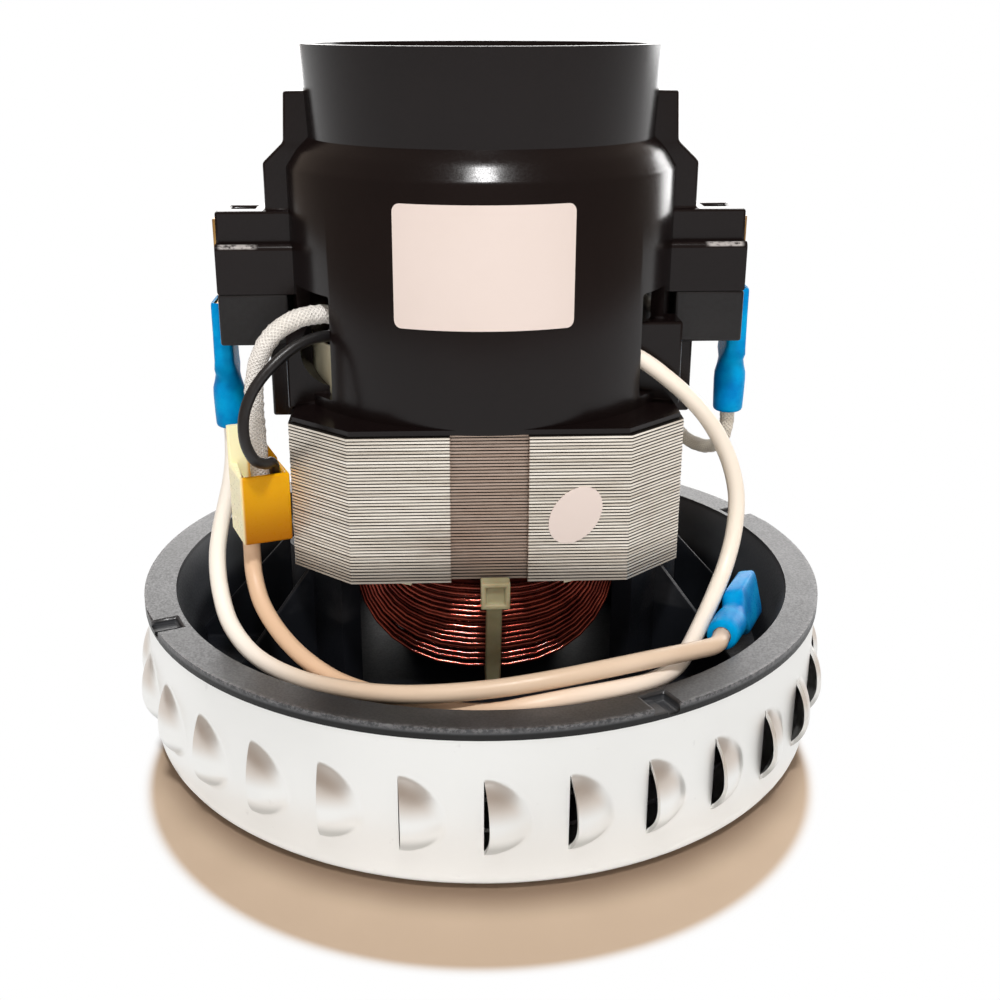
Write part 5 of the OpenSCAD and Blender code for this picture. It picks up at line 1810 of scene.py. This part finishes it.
@dataclass(frozen=True)
class Lamp:
    """Soft square lamp."""

    name: str
    place: Point
    size: float
    power: float
    mirrored: bool = True

    def hang(self, aim: Point) -> None:
        """Hang the lamp so that it faces a point.

        Args:
            aim: The point.
        """
        data = bpy.data.lights.new(self.name, "AREA")
        data.size = self.size
        data.energy = self.power
        lamp = linked(self.name, data)
        lamp.location = self.place
        lamp.rotation_euler = (Vector(aim) - Vector(self.place)).to_track_quat("-Z", "Y").to_euler()
        lamp.visible_glossy = self.mirrored


@dataclass
class Studio:
    """Camera, floor and lamps."""

    eye: Point = (-9.16 * MM, -218.5 * MM, 120.7 * MM)
    heading: Span = (0.0419, 0.9991)
    pitch: float = math.radians(20.29)
    focal_px: float = 1294.0
    frame_px: float = 1000.0
    middle_px: float = 481.0
    sensor: float = 36.0
    clip: Span = (0.01, 20)
    floor_half: float = 3.0
    floor_roughness: float = 0.9
    floor_color: Color = (0.88, 0.875, 0.87)
    # Painted shadow on the floor, seen by camera rays only: beige round the base, darker near the cover.
    shade_color: Color = (0.56, 0.435, 0.32)
    shade_middle: Point = (-1 * MM, -19.4 * MM, 0)
    shade_edge: Span = (55.6 * MM, 58.6 * MM)
    contact_shadow: Color = (0.22, 0.15, 0.1)
    contact_shadow_middle: Point = (0, -4 * MM, 0)
    contact_shadow_edge: Span = (54.5 * MM, 63 * MM)
    room: Color = (0.31, 0.25, 0.205)
    aim: Point = (0, 0, 55 * MM)
    lamps: tuple[Lamp, ...] = (
        Lamp("key", (0.0, -0.43, 0.85), 0.11, 5.6),
        Lamp("front", (0.1, -1.5, 0.35), 1.3, 9.5, mirrored=False),
        Lamp("back", (0.14, 1.4, 0.45), 1.5, 23),
        Lamp("back_right", (1.0, 1.0, 0.3), 0.5, 5))

    def camera(self) -> None:
        """Set the camera at the photograph's angle."""
        data = bpy.data.cameras.new("camera")
        data.sensor_width = self.sensor
        data.lens = self.focal_px * self.sensor / self.frame_px
        data.shift_x = 0.5 - self.middle_px / self.frame_px
        data.clip_start, data.clip_end = self.clip
        camera = linked("camera", data)
        flat = math.cos(self.pitch)
        way = Vector((self.heading[0] * flat, self.heading[1] * flat, -math.sin(self.pitch)))
        camera.location = self.eye
        camera.rotation_euler = way.to_track_quat("-Z", "Y").to_euler()
        bpy.context.scene.camera = camera

    def floor(self) -> None:
        """Lay a light floor that keeps the shadow and fades to white away from the object; round the base the
        camera sees a painted beige shadow, darker near the cover.
        """
        shape = bmesh.new()
        bmesh.ops.create_grid(shape, x_segments=1, y_segments=1, size=self.floor_half)
        mesh = bpy.data.meshes.new("floor")
        shape.to_mesh(mesh)
        shape.free()
        shader = Shader("pale_floor")
        shader.set(Roughness=self.floor_roughness)
        white = shader.add("ShaderNodeEmission")
        path = shader.add("ShaderNodeLightPath")
        seen = shader.math("MAXIMUM", path.outputs["Is Camera Ray"], path.outputs["Is Glossy Ray"])
        # Painted shadow for camera rays: beige round the base, and darker near the cover.
        white_share = shader.fit(shader.distance(self.shade_middle), *self.shade_edge)
        shaded = shader.math("SUBTRACT", path.outputs["Is Camera Ray"], white_share)
        contact = shader.fit(shader.distance(self.contact_shadow_middle), *self.contact_shadow_edge)
        shade = shader.blend(contact, self.contact_shadow, self.shade_color)
        shader.color(shader.blend(shaded, self.floor_color, shade))
        mix = shader.add("ShaderNodeMixShader")
        shader.join(shader.product(seen, white_share), mix.inputs[0])
        shader.join(shader.surface.outputs[0], mix.inputs[1])
        shader.join(white.outputs[0], mix.inputs[2])
        shader.join(mix.outputs[0], shader.tree.nodes["Material Output"].inputs["Surface"])
        mesh.materials.append(shader.material)
        linked("floor", mesh)

    def light(self) -> None:
        """Light the unit softly, with a bright backdrop."""
        world = bpy.data.worlds.new("studio")
        bpy.context.scene.world = world
        world.use_nodes = True
        tree = world.node_tree
        background = tree.nodes["Background"]
        path = tree.nodes.new("ShaderNodeLightPath")
        backdrop = tree.nodes.new("ShaderNodeMix")
        backdrop.data_type = "RGBA"
        backdrop.inputs[6].default_value = (*self.room, 1)
        backdrop.inputs[7].default_value = (1, 1, 1, 1)
        tree.links.new(path.outputs["Is Camera Ray"], backdrop.inputs[0])
        tree.links.new(backdrop.outputs[2], background.inputs["Color"])
        for lamp in self.lamps:
            lamp.hang(self.aim)

    def build(self) -> None:
        """Set camera, floor and lamps."""
        self.camera()
        self.floor()
        self.light()
        bpy.context.scene.view_settings.view_transform = "Standard"


def main() -> None:
    """Build the pieces in order."""
    logging.basicConfig(level=logging.INFO, format="%(name)s: %(message)s")
    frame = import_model()
    nodes: Nodes = frame["nodes"]
    Studio().build()
    Wiring().build(nodes)
    FanCover().build()
    TopCasing().build(nodes)
    LaminationStack().build(nodes)
    FieldCoils().build(nodes)
    ArmatureWires().build()
    CableTies().build(nodes)
    Terminals().build()
    RatingLabel().build(nodes)
    BrushSprings().build()
    Solids().build(nodes)


if __name__ == "__main__":
    main()
